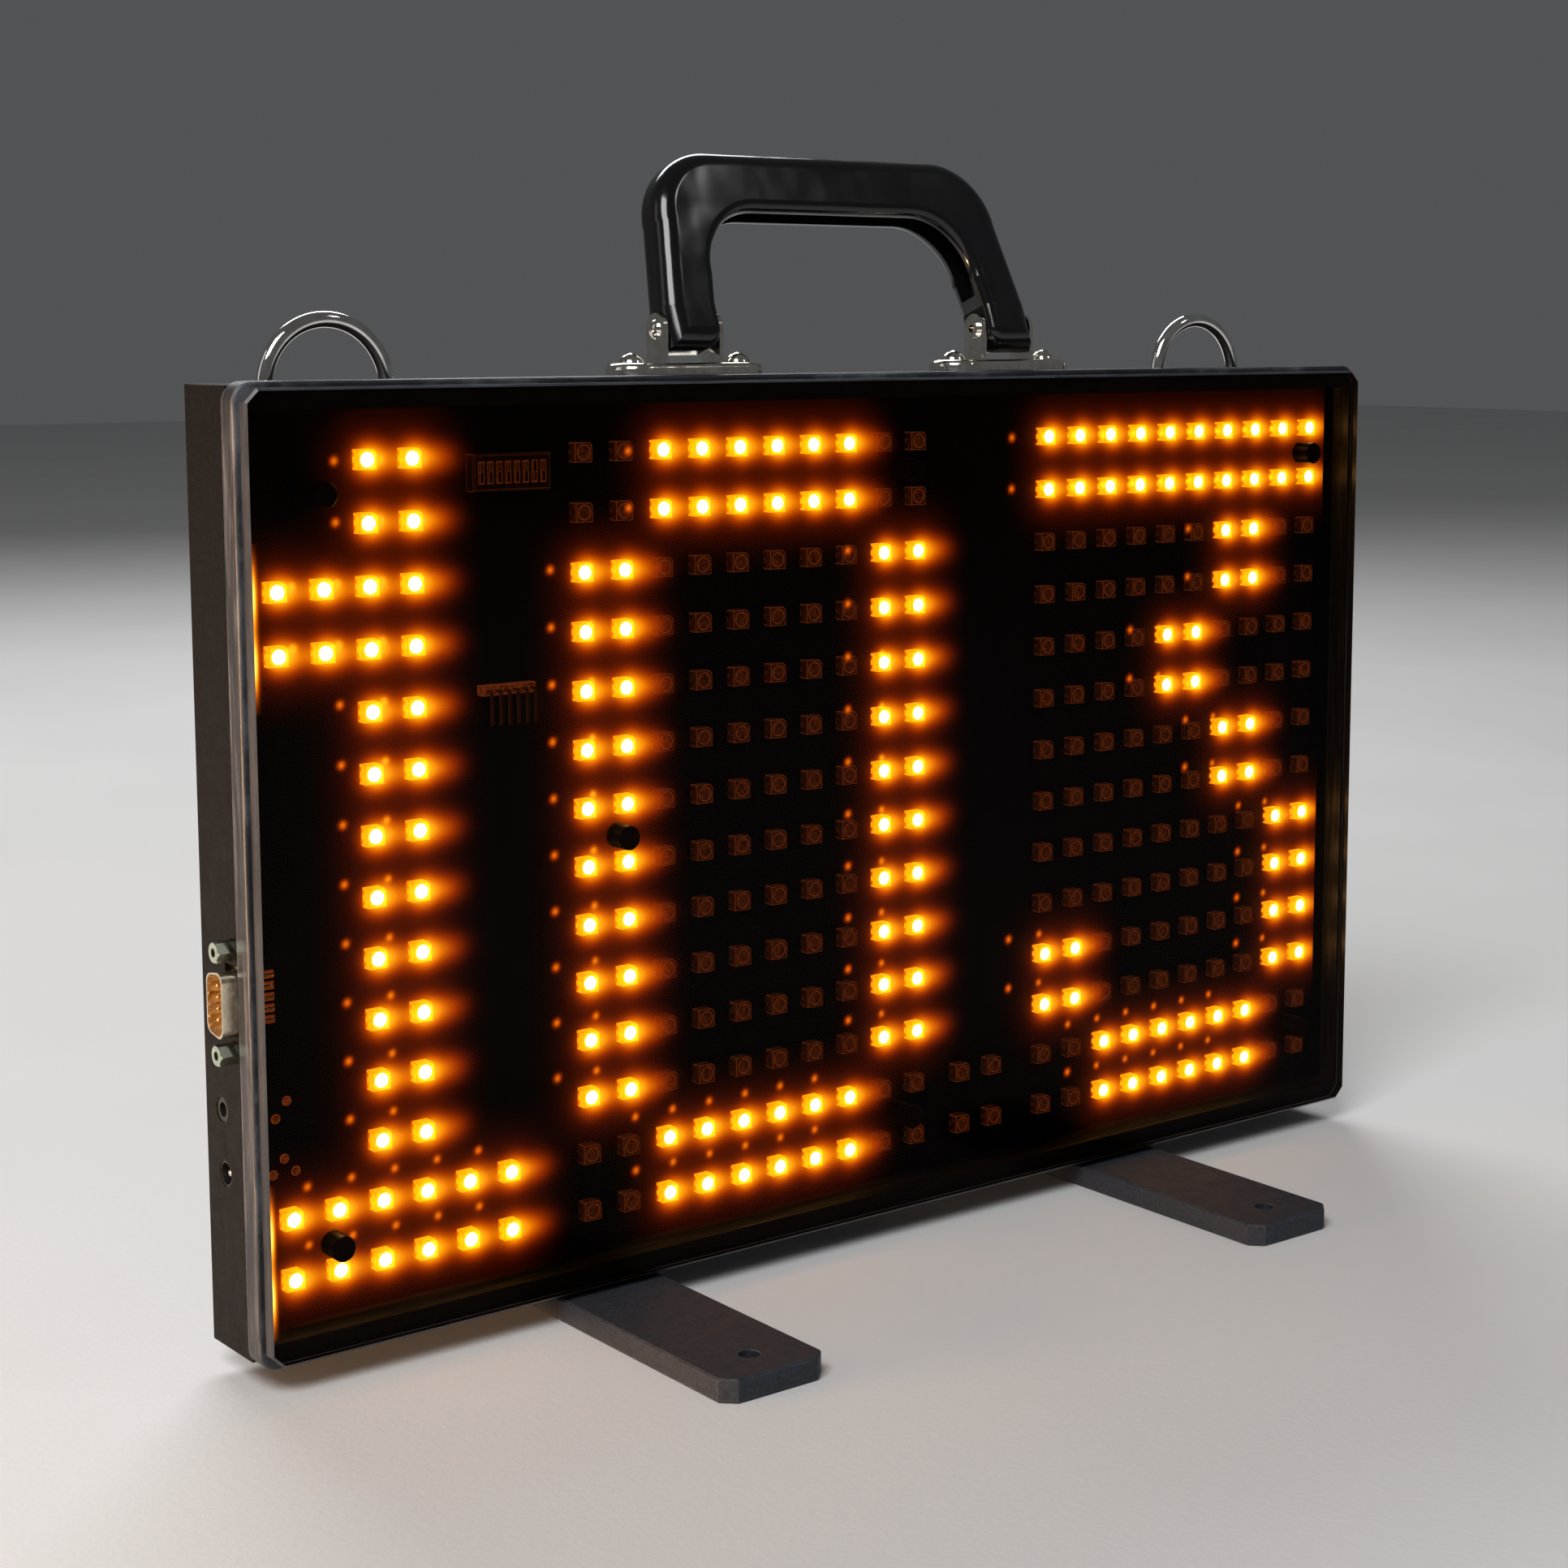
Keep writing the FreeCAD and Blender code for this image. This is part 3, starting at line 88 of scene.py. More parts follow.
# ---- colours, linear ----
LIT_CORE = (1.0, 0.64, 0.30)
LIT_BODY = (1.0, 0.60, 0.004)
HALO_TINTS = ((0.0, (1.0, 0.088, 0.0)), (0.2, (1.0, 0.13, 0.0)), (0.5, (1.0, 0.27, 0.001)),
              (1.0, (1.0, 0.50, 0.01)))
STRIP_TINTS = ((0.0, (1.0, 0.16, 0.002)), (0.4, (1.0, 0.40, 0.01)), (1.0, (1.0, 0.75, 0.12)))
# colour of the painted orange light on edges near the LEDs
PAINTED_EDGE_LIGHT = (0.75, 0.16, 0.025)
EDGE_BAND_WIDTH = 0.0007
FLAT_FACING = 0.99

# ---- stage: each light's name, place, aim, size, watts and colour ----
FLOOR_HALF = 6.0
FLOOR_DROP = 0.0002
WORLD_TINT = (0.72, 0.73, 0.75, 1)
WORLD_STRENGTH = 0.12
WHITE = (1, 1, 1)
LIGHTS = (
    ("key", (-1.3, -0.9, 1.7), (0, 0, 0.12), (1.0, 1.0), 34, WHITE),
    ("side", (-1.6, 0.5, 0.9), (0, 0, 0.12), (0.5, 1.0), 1.0, WHITE),
    ("rim", (0.5, 1.4, 1.5), (0, 0, 0.2), (1.4, 0.6), 22, WHITE),
    ("warm", (-0.9, 0.1, 0.05), (-0.19, 0, 0.03), (0.4, 0.06), 9.0, (1.0, 0.58, 0.30)),
    ("grip", (1.20, -1.52, 1.86), (-0.05, 0.02, 0.29), (0.24, 0.24), 2.0, WHITE),
)


def digit_leds(marked):
    """Lattice places of the LEDs in marked cells, or of those in blank ones.

    The left digit has LEDs in its marked cells only.
    """
    places = []
    for pattern, first in DIGITS:
        for cell_row, line in enumerate(pattern):
            for cell_column, sign in enumerate(line):
                if (sign == "#") != marked or (pattern is ONE and sign == " "):
                    continue
                for k in range(4):
                    places.append((first + 2 * cell_column + k % 2, 2 * cell_row + k // 2))
    return places


def led_at(place):
    """X and Z of one place on the lattice."""
    return FIRST_LED[0] + place[0] * PITCH_X, FIRST_LED[1] - place[1] * PITCH_Z


# ---- materials ----
class Nodes:
    """A short way to lay out one material's nodes."""

    def __init__(self, name):
        self.material = bpy.data.materials.new(name)
        self.material.use_nodes = True
        self.tree = self.material.node_tree
        self.shader = self.tree.nodes["Principled BSDF"]
        self.place = self.new("ShaderNodeTexCoord").outputs["Object"]

    def new(self, kind, **settings):
        node = self.tree.nodes.new(kind)
        for key, value in settings.items():
            setattr(node, key, value)
        return node

    def link(self, source, target):
        self.tree.links.new(source, target)

    def set(self, **values):
        """Sets sockets of the shader, written with _ for a space."""
        for key, value in values.items():
            socket = self.shader.inputs[key.replace("_", " ")]
            if isinstance(value, tuple) and len(value) == 3:
                value = (*value, 1.0)
            socket.default_value = value
        return self

    def drop_shader(self):
        """Takes the standard shader away, for a material made of plainer ones."""
        self.tree.nodes.remove(self.shader)
        return self

    def surface(self, source):
        """Ends a material whose standard shader was dropped."""
        self.link(source, self.tree.nodes["Material Output"].inputs["Surface"])
        return self.material

    def noise(self, scale, detail=4.0, rough=0.55, stretch=None):
        """Cloudy noise with this many lumps to the metre, stretched along an axis if asked."""
        texture = self.new("ShaderNodeTexNoise")
        texture.inputs["Scale"].default_value = scale
        texture.inputs["Detail"].default_value = detail
        texture.inputs["Roughness"].default_value = rough
        place = self.place
        if stretch:
            mapping = self.new("ShaderNodeMapping")
            mapping.inputs["Scale"].default_value = stretch
            self.link(place, mapping.inputs["Vector"])
            place = mapping.outputs["Vector"]
        self.link(place, texture.inputs["Vector"])
        return texture.outputs["Fac"]

    def specks(self, scale):
        """Small round cells, for the grain of a powder coat."""
        texture = self.new("ShaderNodeTexVoronoi")
        texture.inputs["Scale"].default_value = scale
        self.link(self.place, texture.inputs["Vector"])
        return texture.outputs["Distance"]

    def ramp(self, source, stops):
        """Turns a value into the colours or greys of these (position, colour) stops."""
        node = self.new("ShaderNodeValToRGB")
        elements = node.color_ramp.elements
        while len(elements) < len(stops):
            elements.new(0.5)
        for element, (position, colour) in zip(elements, stops):
            if not isinstance(colour, tuple):
                colour = (colour, colour, colour)
            element.position = position
            element.color = (*colour, 1.0)
        self.link(source, node.inputs["Fac"])
        return node.outputs["Color"]

    def wear_and_glow_edges(self, width):
        """White within this width of an edge, where a rounded edge would face another way; used
        for rubbed wear and for painted edge light.
        """
        bevel = self.new("ShaderNodeBevel", samples=6)
        bevel.inputs["Radius"].default_value = width
        geometry = self.new("ShaderNodeNewGeometry")
        facing = self.new("ShaderNodeVectorMath", operation="DOT_PRODUCT")
        self.link(bevel.outputs["Normal"], facing.inputs[0])
        self.link(geometry.outputs["Normal"], facing.inputs[1])
        return self.ramp(facing.outputs["Value"], ((0.75, 1.0), (0.97, 0.0)))

    def mix(self, factor, first, second):
        """Blends two colours; each input is a socket or a plain value."""
        node = self.new("ShaderNodeMix", data_type="RGBA")
        for socket, value in ((node.inputs[0], factor), (node.inputs[6], first),
                              (node.inputs[7], second)):
            if isinstance(value, bpy.types.NodeSocket):
                self.link(value, socket)
            elif isinstance(value, tuple):
                socket.default_value = (*value, 1.0)
            else:
                socket.default_value = value
        return node.outputs[2]

    def times(self, first, second):
        """Multiplies two values; each is a socket or a plain number."""
        node = self.new("ShaderNodeMath", operation="MULTIPLY")
        for socket, value in zip(node.inputs, (first, second)):
            if isinstance(value, bpy.types.NodeSocket):
                self.link(value, socket)
            else:
                socket.default_value = value
        return node.outputs[0]

    def outline(self, cloud, width, strength, faces=0.12):
        """Faint orange light along edges, and a little of it on the faces."""
        faces = self.ramp(cloud, ((0.35, 0.1 * faces), (0.65, faces)))
        # painted light: orange emission on the masked edges, and a little on the faces
        lit = self.mix(self.wear_and_glow_edges(width), faces, (1.0, 1.0, 1.0))
        glow = self.new("ShaderNodeMix", data_type="RGBA", blend_type="MULTIPLY")
        glow.inputs[0].default_value = 1.0
        self.link(lit, glow.inputs[6])
        glow.inputs[7].default_value = (*PAINTED_EDGE_LIGHT, 1.0)
        self.link(glow.outputs[2], self.shader.inputs["Emission Color"])
        return self.set(Emission_Strength=strength, Specular_IOR_Level=0.12)

    def colour(self, source):
        self.link(source, self.shader.inputs["Base Color"])
        return self

    def rough(self, source, low, high):
        """Roughness that follows a pattern between two values."""
        self.link(self.ramp(source, ((0.25, low), (0.75, high))), self.shader.inputs["Roughness"])
        return self

    def bump(self, source, depth):
        """Raises the surface by up to depth metres."""
        node = self.new("ShaderNodeBump")
        node.inputs["Distance"].default_value = depth
        self.link(source, node.inputs["Height"])
        self.link(node.outputs["Normal"], self.shader.inputs["Normal"])
        return self


def powder_coat(name, dark, light, rough=(0.42, 0.6), specular=0.3):
    """Fine-textured powder coat, paler where it is rubbed."""
    n = Nodes(name)
    grain = n.specks(2600)
    base = n.ramp(n.noise(800, 6, 0.8), ((0.36, dark), (0.64, light)))
    rubbed = n.times(n.wear_and_glow_edges(EDGE_BAND_WIDTH), n.ramp(n.noise(160, 5), ((0.42, 0.1), (0.62, 0.9))))
    worn = tuple(min(1.0, 3.0 * c + 0.02) for c in light)
    n.colour(n.mix(rubbed, base, worn)).rough(n.noise(240), *rough).bump(grain, 0.00004)
    return n.set(Specular_IOR_Level=specular).material


def frame_paint():
    """Dark metallic paint on the bezel, scuffed along its length."""
    n = Nodes("bezel_paint")
    scuff = n.noise(60, 8, 0.7, stretch=(0.5, 9.0, 0.5))
    fine = n.noise(900, 3)
    base = n.ramp(scuff, ((0.34, (0.010, 0.011, 0.014)), (0.50, (0.034, 0.037, 0.044)),
                          (0.66, (0.14, 0.15, 0.17))))
    worn = n.times(n.wear_and_glow_edges(EDGE_BAND_WIDTH), n.ramp(n.noise(220, 4), ((0.4, 0.15), (0.6, 1.0))))
    n.colour(n.mix(worn, base, (0.22, 0.23, 0.25)))
    return n.set(Metallic=0.35).rough(scuff, 0.34, 0.55).bump(fine, 0.00002).material


def bright_metal(name, tint, rough, lumps=220):
    """Plated metal with faint rubbing and fine pits."""
    n = Nodes(name)
    rub = n.noise(lumps, 3, 0.5)
    dull = tuple(0.8 * c for c in tint)
    n.colour(n.ramp(rub, ((0.32, dull), (0.60, tint))))
    n.rough(n.noise(lumps * 2, 5), rough * 0.5, rough * 1.8).bump(n.noise(900, 2), 0.000003)
    return n.set(Metallic=1.0).material


def moulded(name, tint, rough=(0.35, 0.55), grain=1800, depth=0.00002):
    """Moulded plastic with a fine spark-eroded grain."""
    n = Nodes(name)
    cloud = n.noise(120, 5)
    darker = tuple(0.7 * c for c in tint)
    lighter = tuple(min(1.0, 1.25 * c) for c in tint)
    n.colour(n.ramp(cloud, ((0.3, darker), (0.7, lighter)))).rough(n.noise(400, 4), *rough)
    return n.bump(n.specks(grain), depth).material


def glossy_grip():
    """Glossy black moulding with faint flow marks and finger smears."""
    n = Nodes("grip_gloss")
    cloud = n.noise(40, 5)
    n.colour(n.ramp(cloud, ((0.3, (0.0022, 0.0022, 0.0026)), (0.7, (0.0045, 0.0045, 0.0055)))))
    n.rough(n.noise(70, 6, 0.6, stretch=(1.0, 1.0, 0.4)), 0.10, 0.20)
    return n.bump(n.noise(38, 2), 0.0006).set(Specular_IOR_Level=0.5).material


def solder_mask():
    """Black solder mask over faint copper tracks."""
    n = Nodes("solder_mask")
    tracks = n.new("ShaderNodeTexBrick")
    tracks.inputs["Scale"].default_value = 160
    tracks.inputs["Mortar Size"].default_value = 0.03
    tracks.inputs["Color1"].default_value = (0.0011, 0.0006, 0.0005, 1)
    tracks.inputs["Color2"].default_value = (0.0009, 0.0005, 0.0004, 1)
    tracks.inputs["Mortar"].default_value = (0.0026, 0.0011, 0.0006, 1)
    n.link(n.place, tracks.inputs["Vector"])
    n.colour(tracks.outputs["Color"]).rough(n.noise(300), 0.45, 0.6)
    return n.set(Specular_IOR_Level=0.12).material


def smoked_acrylic():
    """Dark see-through sheet: polished, with hairline scratches and dust."""
    n = Nodes("smoked_acrylic").drop_shader()
    clear = n.new("ShaderNodeBsdfTransparent")
    clear.inputs["Color"].default_value = (0.84, 0.74, 0.66, 1)
    gloss = n.new("ShaderNodeBsdfGlossy")
    gloss.inputs["Color"].default_value = (0.075, 0.072, 0.080, 1)
    n.link(n.ramp(n.noise(60, 6), ((0.35, 0.015), (0.7, 0.06))), gloss.inputs["Roughness"])
    fresnel = n.new("ShaderNodeFresnel")
    fresnel.inputs["IOR"].default_value = 1.49
    lift = n.new("ShaderNodeBump")
    lift.inputs["Distance"].default_value = 0.000004
    n.link(n.noise(2500, 2), lift.inputs["Height"])
    n.link(lift.outputs["Normal"], gloss.inputs["Normal"])
    mix = n.new("ShaderNodeMixShader")
    n.link(fresnel.outputs["Fac"], mix.inputs[0])
    n.link(clear.outputs["BSDF"], mix.inputs[1])
    n.link(gloss.outputs["BSDF"], mix.inputs[2])
    return n.surface(mix.outputs["Shader"])


def sheet_back():
    """The sheet's hidden face: it only tints what is seen through it."""
    n = Nodes("smoked_acrylic_back").drop_shader()
    clear = n.new("ShaderNodeBsdfTransparent")
    tint = n.ramp(n.noise(80, 3), ((0.3, (0.82, 0.72, 0.64)), (0.7, (0.86, 0.76, 0.68))))
    n.link(tint, clear.inputs["Color"])
    return n.surface(clear.outputs["BSDF"])


def edge_acrylic():
    """The sheet's sawn edge and bevel, which look pale and dusty."""
    n = Nodes("acrylic_edge")
    grain = n.noise(45, 8, 0.7, stretch=(1.0, 12.0, 1.0))
    n.colour(n.ramp(grain, ((0.30, (0.014, 0.016, 0.020)), (0.62, (0.045, 0.050, 0.060)))))
    return n.rough(n.noise(260, 5), 0.25, 0.5).bump(n.noise(1200, 3), 0.00001).material


def lit_package():
    """An LED package that its own chip lights from inside."""
    n = Nodes("led_package_lit")
    n.set(Base_Color=(0.5, 0.12, 0.02), Emission_Strength=1.5, Roughness=0.3)
    body = n.ramp(n.noise(1100, 3), ((0.35, (1.0, 0.34, 0.002)), (0.62, LIT_BODY)))
    glow = n.mix(n.wear_and_glow_edges(EDGE_BAND_WIDTH), body, (0.80, 0.17, 0.001))
    n.link(glow, n.shader.inputs["Emission Color"])
    return n.bump(n.noise(900, 2), 0.00002).material


def lit_lens():
    """The lens over a lit chip: nearly white in the middle."""
    n = Nodes("led_lens_lit")
    n.set(Base_Color=(1.0, 0.6, 0.2), Emission_Strength=10.0, Roughness=0.12)
    glow = n.ramp(n.noise(1200, 2), ((0.3, (1.0, 0.56, 0.20)), (0.7, LIT_CORE)))
    n.link(glow, n.shader.inputs["Emission Color"])
    return n.material


def unlit_package():
    """An unlit package, seen brown through the sheet."""
    n = Nodes("led_package_unlit")
    cloud = n.noise(1100, 4)
    n.colour(n.ramp(cloud, ((0.35, (0.012, 0.004, 0.002)), (0.65, (0.035, 0.011, 0.004)))))
    # painted light: orange emission on the package's edges and faces, as if lit by the nearby LEDs
    n.rough(n.noise(2000), 0.3, 0.5).outline(cloud, 0.00045, 0.36)
    return n.bump(n.noise(1500, 2), 0.00003).material


def unlit_lens():
    """The lens of an unlit package."""
    n = Nodes("led_lens_unlit")
    cloud = n.noise(1300, 4)
    n.colour(n.ramp(cloud, ((0.35, (0.02, 0.006, 0.002)), (0.65, (0.06, 0.018, 0.006)))))
    # painted light: orange emission on the lens's edges and faces, as if lit by the nearby LEDs
    return n.rough(n.noise(2000), 0.1, 0.25).outline(cloud, 0.0004, 0.42, 0.2).material


def dim_moulding(name, tint, strength, faces=0.12):
    """Dark moulding whose edges pick up the LEDs' orange light."""
    n = Nodes(name)
    cloud = n.noise(900, 4)
    darker = tuple(0.6 * c for c in tint)
    n.colour(n.ramp(cloud, ((0.3, darker), (0.7, tint)))).rough(n.noise(1500), 0.35, 0.55)
    return n.outline(cloud, 0.00035, strength, faces).material


def painted_glow_material(name, strength, tints):
    """Painted glow of scattered light, read from its layer's own "glow" attribute."""
    n = Nodes(name).drop_shader()
    glow = n.new("ShaderNodeAttribute", attribute_name="glow")
    uneven = n.ramp(n.noise(220, 5), ((0.25, 0.82), (0.75, 1.0)))
    light = n.new("ShaderNodeEmission")
    tint = n.ramp(glow.outputs["Fac"], tints)
    n.link(tint, light.inputs["Color"])
    n.link(n.times(n.times(glow.outputs["Fac"], strength), uneven), light.inputs["Strength"])
    clear = n.new("ShaderNodeBsdfTransparent")
    add = n.new("ShaderNodeAddShader")
    n.link(light.outputs["Emission"], add.inputs[0])
    n.link(clear.outputs["BSDF"], add.inputs[1])
    return n.surface(add.outputs["Shader"])


def floor_material():
    """Plain pale floor."""
    n = Nodes("floor")
    n.colour(n.ramp(n.noise(3, 3), ((0.3, (0.70, 0.70, 0.70)), (0.7, (0.74, 0.74, 0.74)))))
    return n.rough(n.noise(8), 0.6, 0.75).bump(n.noise(500, 2), 0.00005).material


# ---- helpers for pieces ----
def paint(node, material):
    """Gives every slot of a node one material."""
    for slot in node.material_slots:
        slot.material = material


def new_piece(name, mesh, material, body="case"):
    """Adds a piece that the CAD doesn't hold, and ties it to a body."""
    piece = bpy.data.objects.new(name, mesh)
    bpy.context.scene.collection.objects.link(piece)
    mesh.materials.append(material)
    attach(piece, body)
    return piece


class PaintedGlowGrid:
    """A fine upright grid whose points add up how much scattered light they show."""

    def __init__(self, low, high, step):
        self.low = low
        self.step = step
        self.columns = round((high[0] - low[0]) / step)
        self.rows = round((high[1] - low[1]) / step)
        self.sums = [0.0] * ((self.columns + 1) * (self.rows + 1))

    def add(self, centre, reach, amount):
        """Adds amount(dx, dz) at every point within reach of a centre."""
        spans = []
        for k, last in ((0, self.columns), (1, self.rows)):
            first = int((centre[k] - reach - self.low[k]) / self.step)
            past = int((centre[k] + reach - self.low[k]) / self.step) + 1
            spans.append(range(max(0, first), min(last, past) + 1))
        for j in spans[1]:
            dz = self.low[1] + j * self.step - centre[1]
            for i in spans[0]:
                dx = self.low[0] + i * self.step - centre[0]
                self.sums[j * (self.columns + 1) + i] += amount(dx, dz)

    def mesh(self, name, y):
        """The grid as a mesh at this Y, with the sums in its "glow" attribute."""
        wide = self.columns + 1
        points = []
        for j in range(self.rows + 1):
            for i in range(wide):
                points.append((self.low[0] + i * self.step, y, self.low[1] + j * self.step))
        faces = []
        for j in range(self.rows):
            for i in range(self.columns):
                a = j * wide + i
                faces.append((a, a + 1, a + wide + 1, a + wide))
        mesh = bpy.data.meshes.new(name)
        mesh.from_pydata(points, [], faces)
        glow = mesh.attributes.new("glow", "FLOAT", "POINT")
        glow.data.foreach_set("value", [min(1.0, value) for value in self.sums])
        return mesh


def bell(distance_squared, radius):
    """1 at the centre, falling smoothly to 0.37 at the radius."""
    return math.exp(-distance_squared / radius ** 2)


def halo(dx, dz):
    """One LED's halo: a tight bright one, a tail to the right and a wide faint one."""
    around = dx * dx + dz * dz
    tail = TAIL_FLATNESS * (dx - TAIL_SHIFT) ** 2 + dz * dz
    tight = bell(around, HALO_RADIUS) + TAIL_SHARE * bell(tail, TAIL_RADIUS)
    return tight + SPREAD_SHARE * bell(around, SPREAD_RADIUS)


def glint(dx, dz):
    """A painted reflection: the small second image that the sheet throws beside a lit LED."""
    return GLINT_SHARE * bell(dx * dx + dz * dz, GLINT_RADIUS)


def edge_catch(dx, dz):
    """Light caught by the sheet's edge beside a lit LED."""
    return bell(dx * dx, CATCH_HALF_WIDTH) * bell(dz * dz, CATCH_HALF_HEIGHT)


def painted_glow_mesh():
    """Painted glow: halos and painted reflections (small second images), on a layer just ahead of
    the lit LEDs' lenses.
    """
    low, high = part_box("display_board")
    grid = PaintedGlowGrid((low.x, low.z), (high.x, high.z), HALO_STEP)
    for place in digit_leds(True):
        x, z = led_at(place)
        grid.add((x, z), HALO_REACH, halo)
        # painted reflection of this LED, placed at a fixed offset from it
        spot = (x + GLINT_SHIFT + GLINT_DRIFT * x, z + GLINT_RISE * place[1])
        grid.add(spot, GLINT_REACH, glint)
    return grid.mesh("led_painted_glow", low.y - PAINTED_GLOW_AHEAD)


def edge_painted_glow_mesh():
    """The painted strips of light that the sheet's left edge catches beside the lit end LEDs."""
    low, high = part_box("display_panel")
    left = low.x + STRIP_INSET
    grid = PaintedGlowGrid((left, low.z + STRIP_END_GAP),
                    (left + STRIP_WIDTH, high.z - STRIP_END_GAP), STRIP_STEP)
    for place in digit_leds(True):
        if place[0] == 0:
            grid.add((left + CATCH_AT, led_at(place)[1]), CATCH_REACH, edge_catch)
    return grid.mesh("edge_painted_glow", high.y + STRIP_BEHIND)


def box_into(mesh, low, high):
    """Adds a box with slightly rounded edges to a bmesh."""
    size = [b - a for a, b in zip(low, high)]
    centre = [(a + b) / 2 for a, b in zip(low, high)]
    matrix = Matrix.Translation(centre) @ Matrix.Diagonal((*size, 1.0))
    made = bmesh.ops.create_cube(mesh, size=1.0, matrix=matrix)
    edges = list({e for v in made["verts"] for e in v.link_edges})
    bmesh.ops.bevel(mesh, geom=edges, offset=min(size) * BOX_EDGE_SHARE, segments=1,
                    affect="EDGES")


def tabs_mesh(name, places, y):
    """The metal leads at the left and right of each LED package."""
    mesh = bmesh.new()
    for place in places:
        x, z = led_at(place)
        for side in (-1, 1):
            for up in (-LEAD_UP, LEAD_UP):
                inner = x + side * (LED_HALF - LEAD_UNDER)
                outer = x + side * (LED_HALF + LEAD_OUT)
                low = (min(inner, outer), y - LEAD_DEPTH, z + up - LEAD_HALF_HEIGHT)
                high = (max(inner, outer), y, z + up + LEAD_HALF_HEIGHT)
                box_into(mesh, low, high)
    data = bpy.data.meshes.new(name)
    mesh.to_mesh(data)
    mesh.free()
    return data


# ---- the object ----
def coat_finishes():
    """Painted and moulded outer skins, each with the nodes that wear it."""
    rear = powder_coat("rear_case_coat", (0.0030, 0.0028, 0.0028), (0.0085, 0.0076, 0.0072),
                       specular=0.08)
    feet = powder_coat("foot_coat", (0.013, 0.016, 0.022), (0.034, 0.040, 0.052), (0.5, 0.65))
    return {
        rear: ["rear_case"],
        feet: ["foot_left", "foot_right"],
        frame_paint(): ["front_frame"],
        glossy_grip(): ["handle_grip"],
    }


def metal_finishes():
    """Plated and plain metals, each with the nodes made of it."""
    nickel = bright_metal("nickel_plate", (0.88, 0.83, 0.74), 0.10)
    chrome = bright_metal("chrome_plate", (0.88, 0.86, 0.82), 0.06)
    zinc = bright_metal("zinc_plate", (0.60, 0.61, 0.62), 0.3)
    yellow_zinc = bright_metal("yellow_zinc_plate", (0.66, 0.71, 0.56), 0.18)
    tin = bright_metal("tin_plate", (0.84, 0.74, 0.56), 0.2)
    gold = bright_metal("gold_plate", (0.80, 0.52, 0.20), 0.2)
    brass = bright_metal("brass", (0.70, 0.52, 0.25), 0.3)
    black_zinc = bright_metal("black_zinc", (0.06, 0.06, 0.065), 0.4)
    return {
        nickel: ["bracket_left", "bracket_right", "pivot_rivet_left", "pivot_rivet_right",
                 "bracket_screws"],
        chrome: ["ring_left", "ring_right"],
        zinc: ["ring_nuts", "bracket_nuts", "foot_nuts", "foot_screws", "supply_capacitors",
               "clock_crystal"],
        yellow_zinc: ["serial_jackscrews"],
        tin: ["serial_shell", "power_jack_pin"],
        gold: ["serial_pins"],
        brass: ["board_standoffs"],
        black_zinc: ["frame_screws", "standoff_screws"],
    }


def moulding_finishes():
    """Plastics, foam and ferrite, each with the nodes made of it."""
    nylon = moulded("black_nylon", (0.008, 0.007, 0.007))
    insulator = moulded("connector_moulding", (0.30, 0.22, 0.12))
    epoxy = moulded("chip_epoxy", (0.020, 0.020, 0.021))
    foam = moulded("foam_strip", (0.010, 0.010, 0.010), (0.8, 0.95), 5000, 0.0001)
    ferrite = moulded("ferrite", (0.05, 0.05, 0.055), (0.5, 0.7))
    return {
        nylon: ["power_jack_body", "signal_jack_body", "foot_pads"],
        insulator: ["serial_insulator"],
        epoxy: ["driver_chips", "controller_chip", "serial_chip", "regulator_chip"],
        foam: ["panel_gasket"],
        ferrite: ["power_inductor"],
    }


def board_finishes(unlit_body):
    """The board and what is seen on it through the sheet, each with its nodes."""
    # painted light: these mouldings, pins, pillars and solder get orange emission on edges and
    # faces, as if lit by the LEDs; the solder's orange-brown colour is painted light as well
    switch = dim_moulding("switch_moulding", (0.003, 0.0015, 0.001), 0.42, 0.02)
    slider = dim_moulding("slider_moulding", (0.02, 0.008, 0.004), 0.42, 0.10)
    header = dim_moulding("header_moulding", (0.04, 0.012, 0.004), 0.60, 0.35)
    header_pin = dim_moulding("header_pin_tin", (0.016, 0.006, 0.003), 0.10)
    pillar = dim_moulding("pillar_nylon", (0.002, 0.001, 0.001), 0.02)
    solder = dim_moulding("solder_mound", (0.16, 0.07, 0.03), 0.75, 0.25)
    return {
        solder_mask(): ["display_board"],
        switch: ["switch_block"],
        slider: ["switch_slider_%d" % way for way in range(1, 9)],
        header: ["header_body"],
        header_pin: ["header_pins"],
        pillar: ["panel_pillars"],
        solder: ["serial_solder", "jack_leads"],
        lit_lens(): ["led_lenses_lit"],
        unlit_lens(): ["led_lenses_unlit"],
        unlit_body: ["leds_decimal_point"],
    }


def paint_nodes(nodes):
    """Gives every CAD node its finish."""
    lit_body = lit_package()
    unlit_body = unlit_package()
    for finishes in (coat_finishes(), metal_finishes(), moulding_finishes(),
                     board_finishes(unlit_body)):
        for material, names in finishes.items():
            for name in names:
                paint(nodes[name], material)
    paint(nodes["leds_left_digit"], lit_body)
    lit = {(round(place[0]), place[1]) for place in digit_leds(True)}
    for name in ("leds_middle_digit", "leds_right_digit"):
        paint_packages(nodes[name], lit, lit_body, unlit_body)
    paint_panel(nodes["display_panel"])


def paint_packages(node, lit, lit_body, unlit_body):
    """Gives each face of a digit's packages the lit or the unlit finish by its lattice place."""
    paint(node, lit_body)
    node.data.materials.append(unlit_body)
    for face in node.data.polygons:
        column = round((face.center.x - FIRST_LED[0]) / PITCH_X)
        row = round((FIRST_LED[1] - face.center.z) / PITCH_Z)
        face.material_index = 0 if (column, row) in lit else 1


def paint_panel(node):
    """The sheet's two faces are clear, and its edge and bevel are not."""
    paint(node, smoked_acrylic())
    node.data.materials.append(edge_acrylic())
    node.data.materials.append(sheet_back())
    for face in node.data.polygons:
        if face.normal.y < -FLAT_FACING:
            face.material_index = 0
        else:
            face.material_index = 2 if face.normal.y > FLAT_FACING else 1


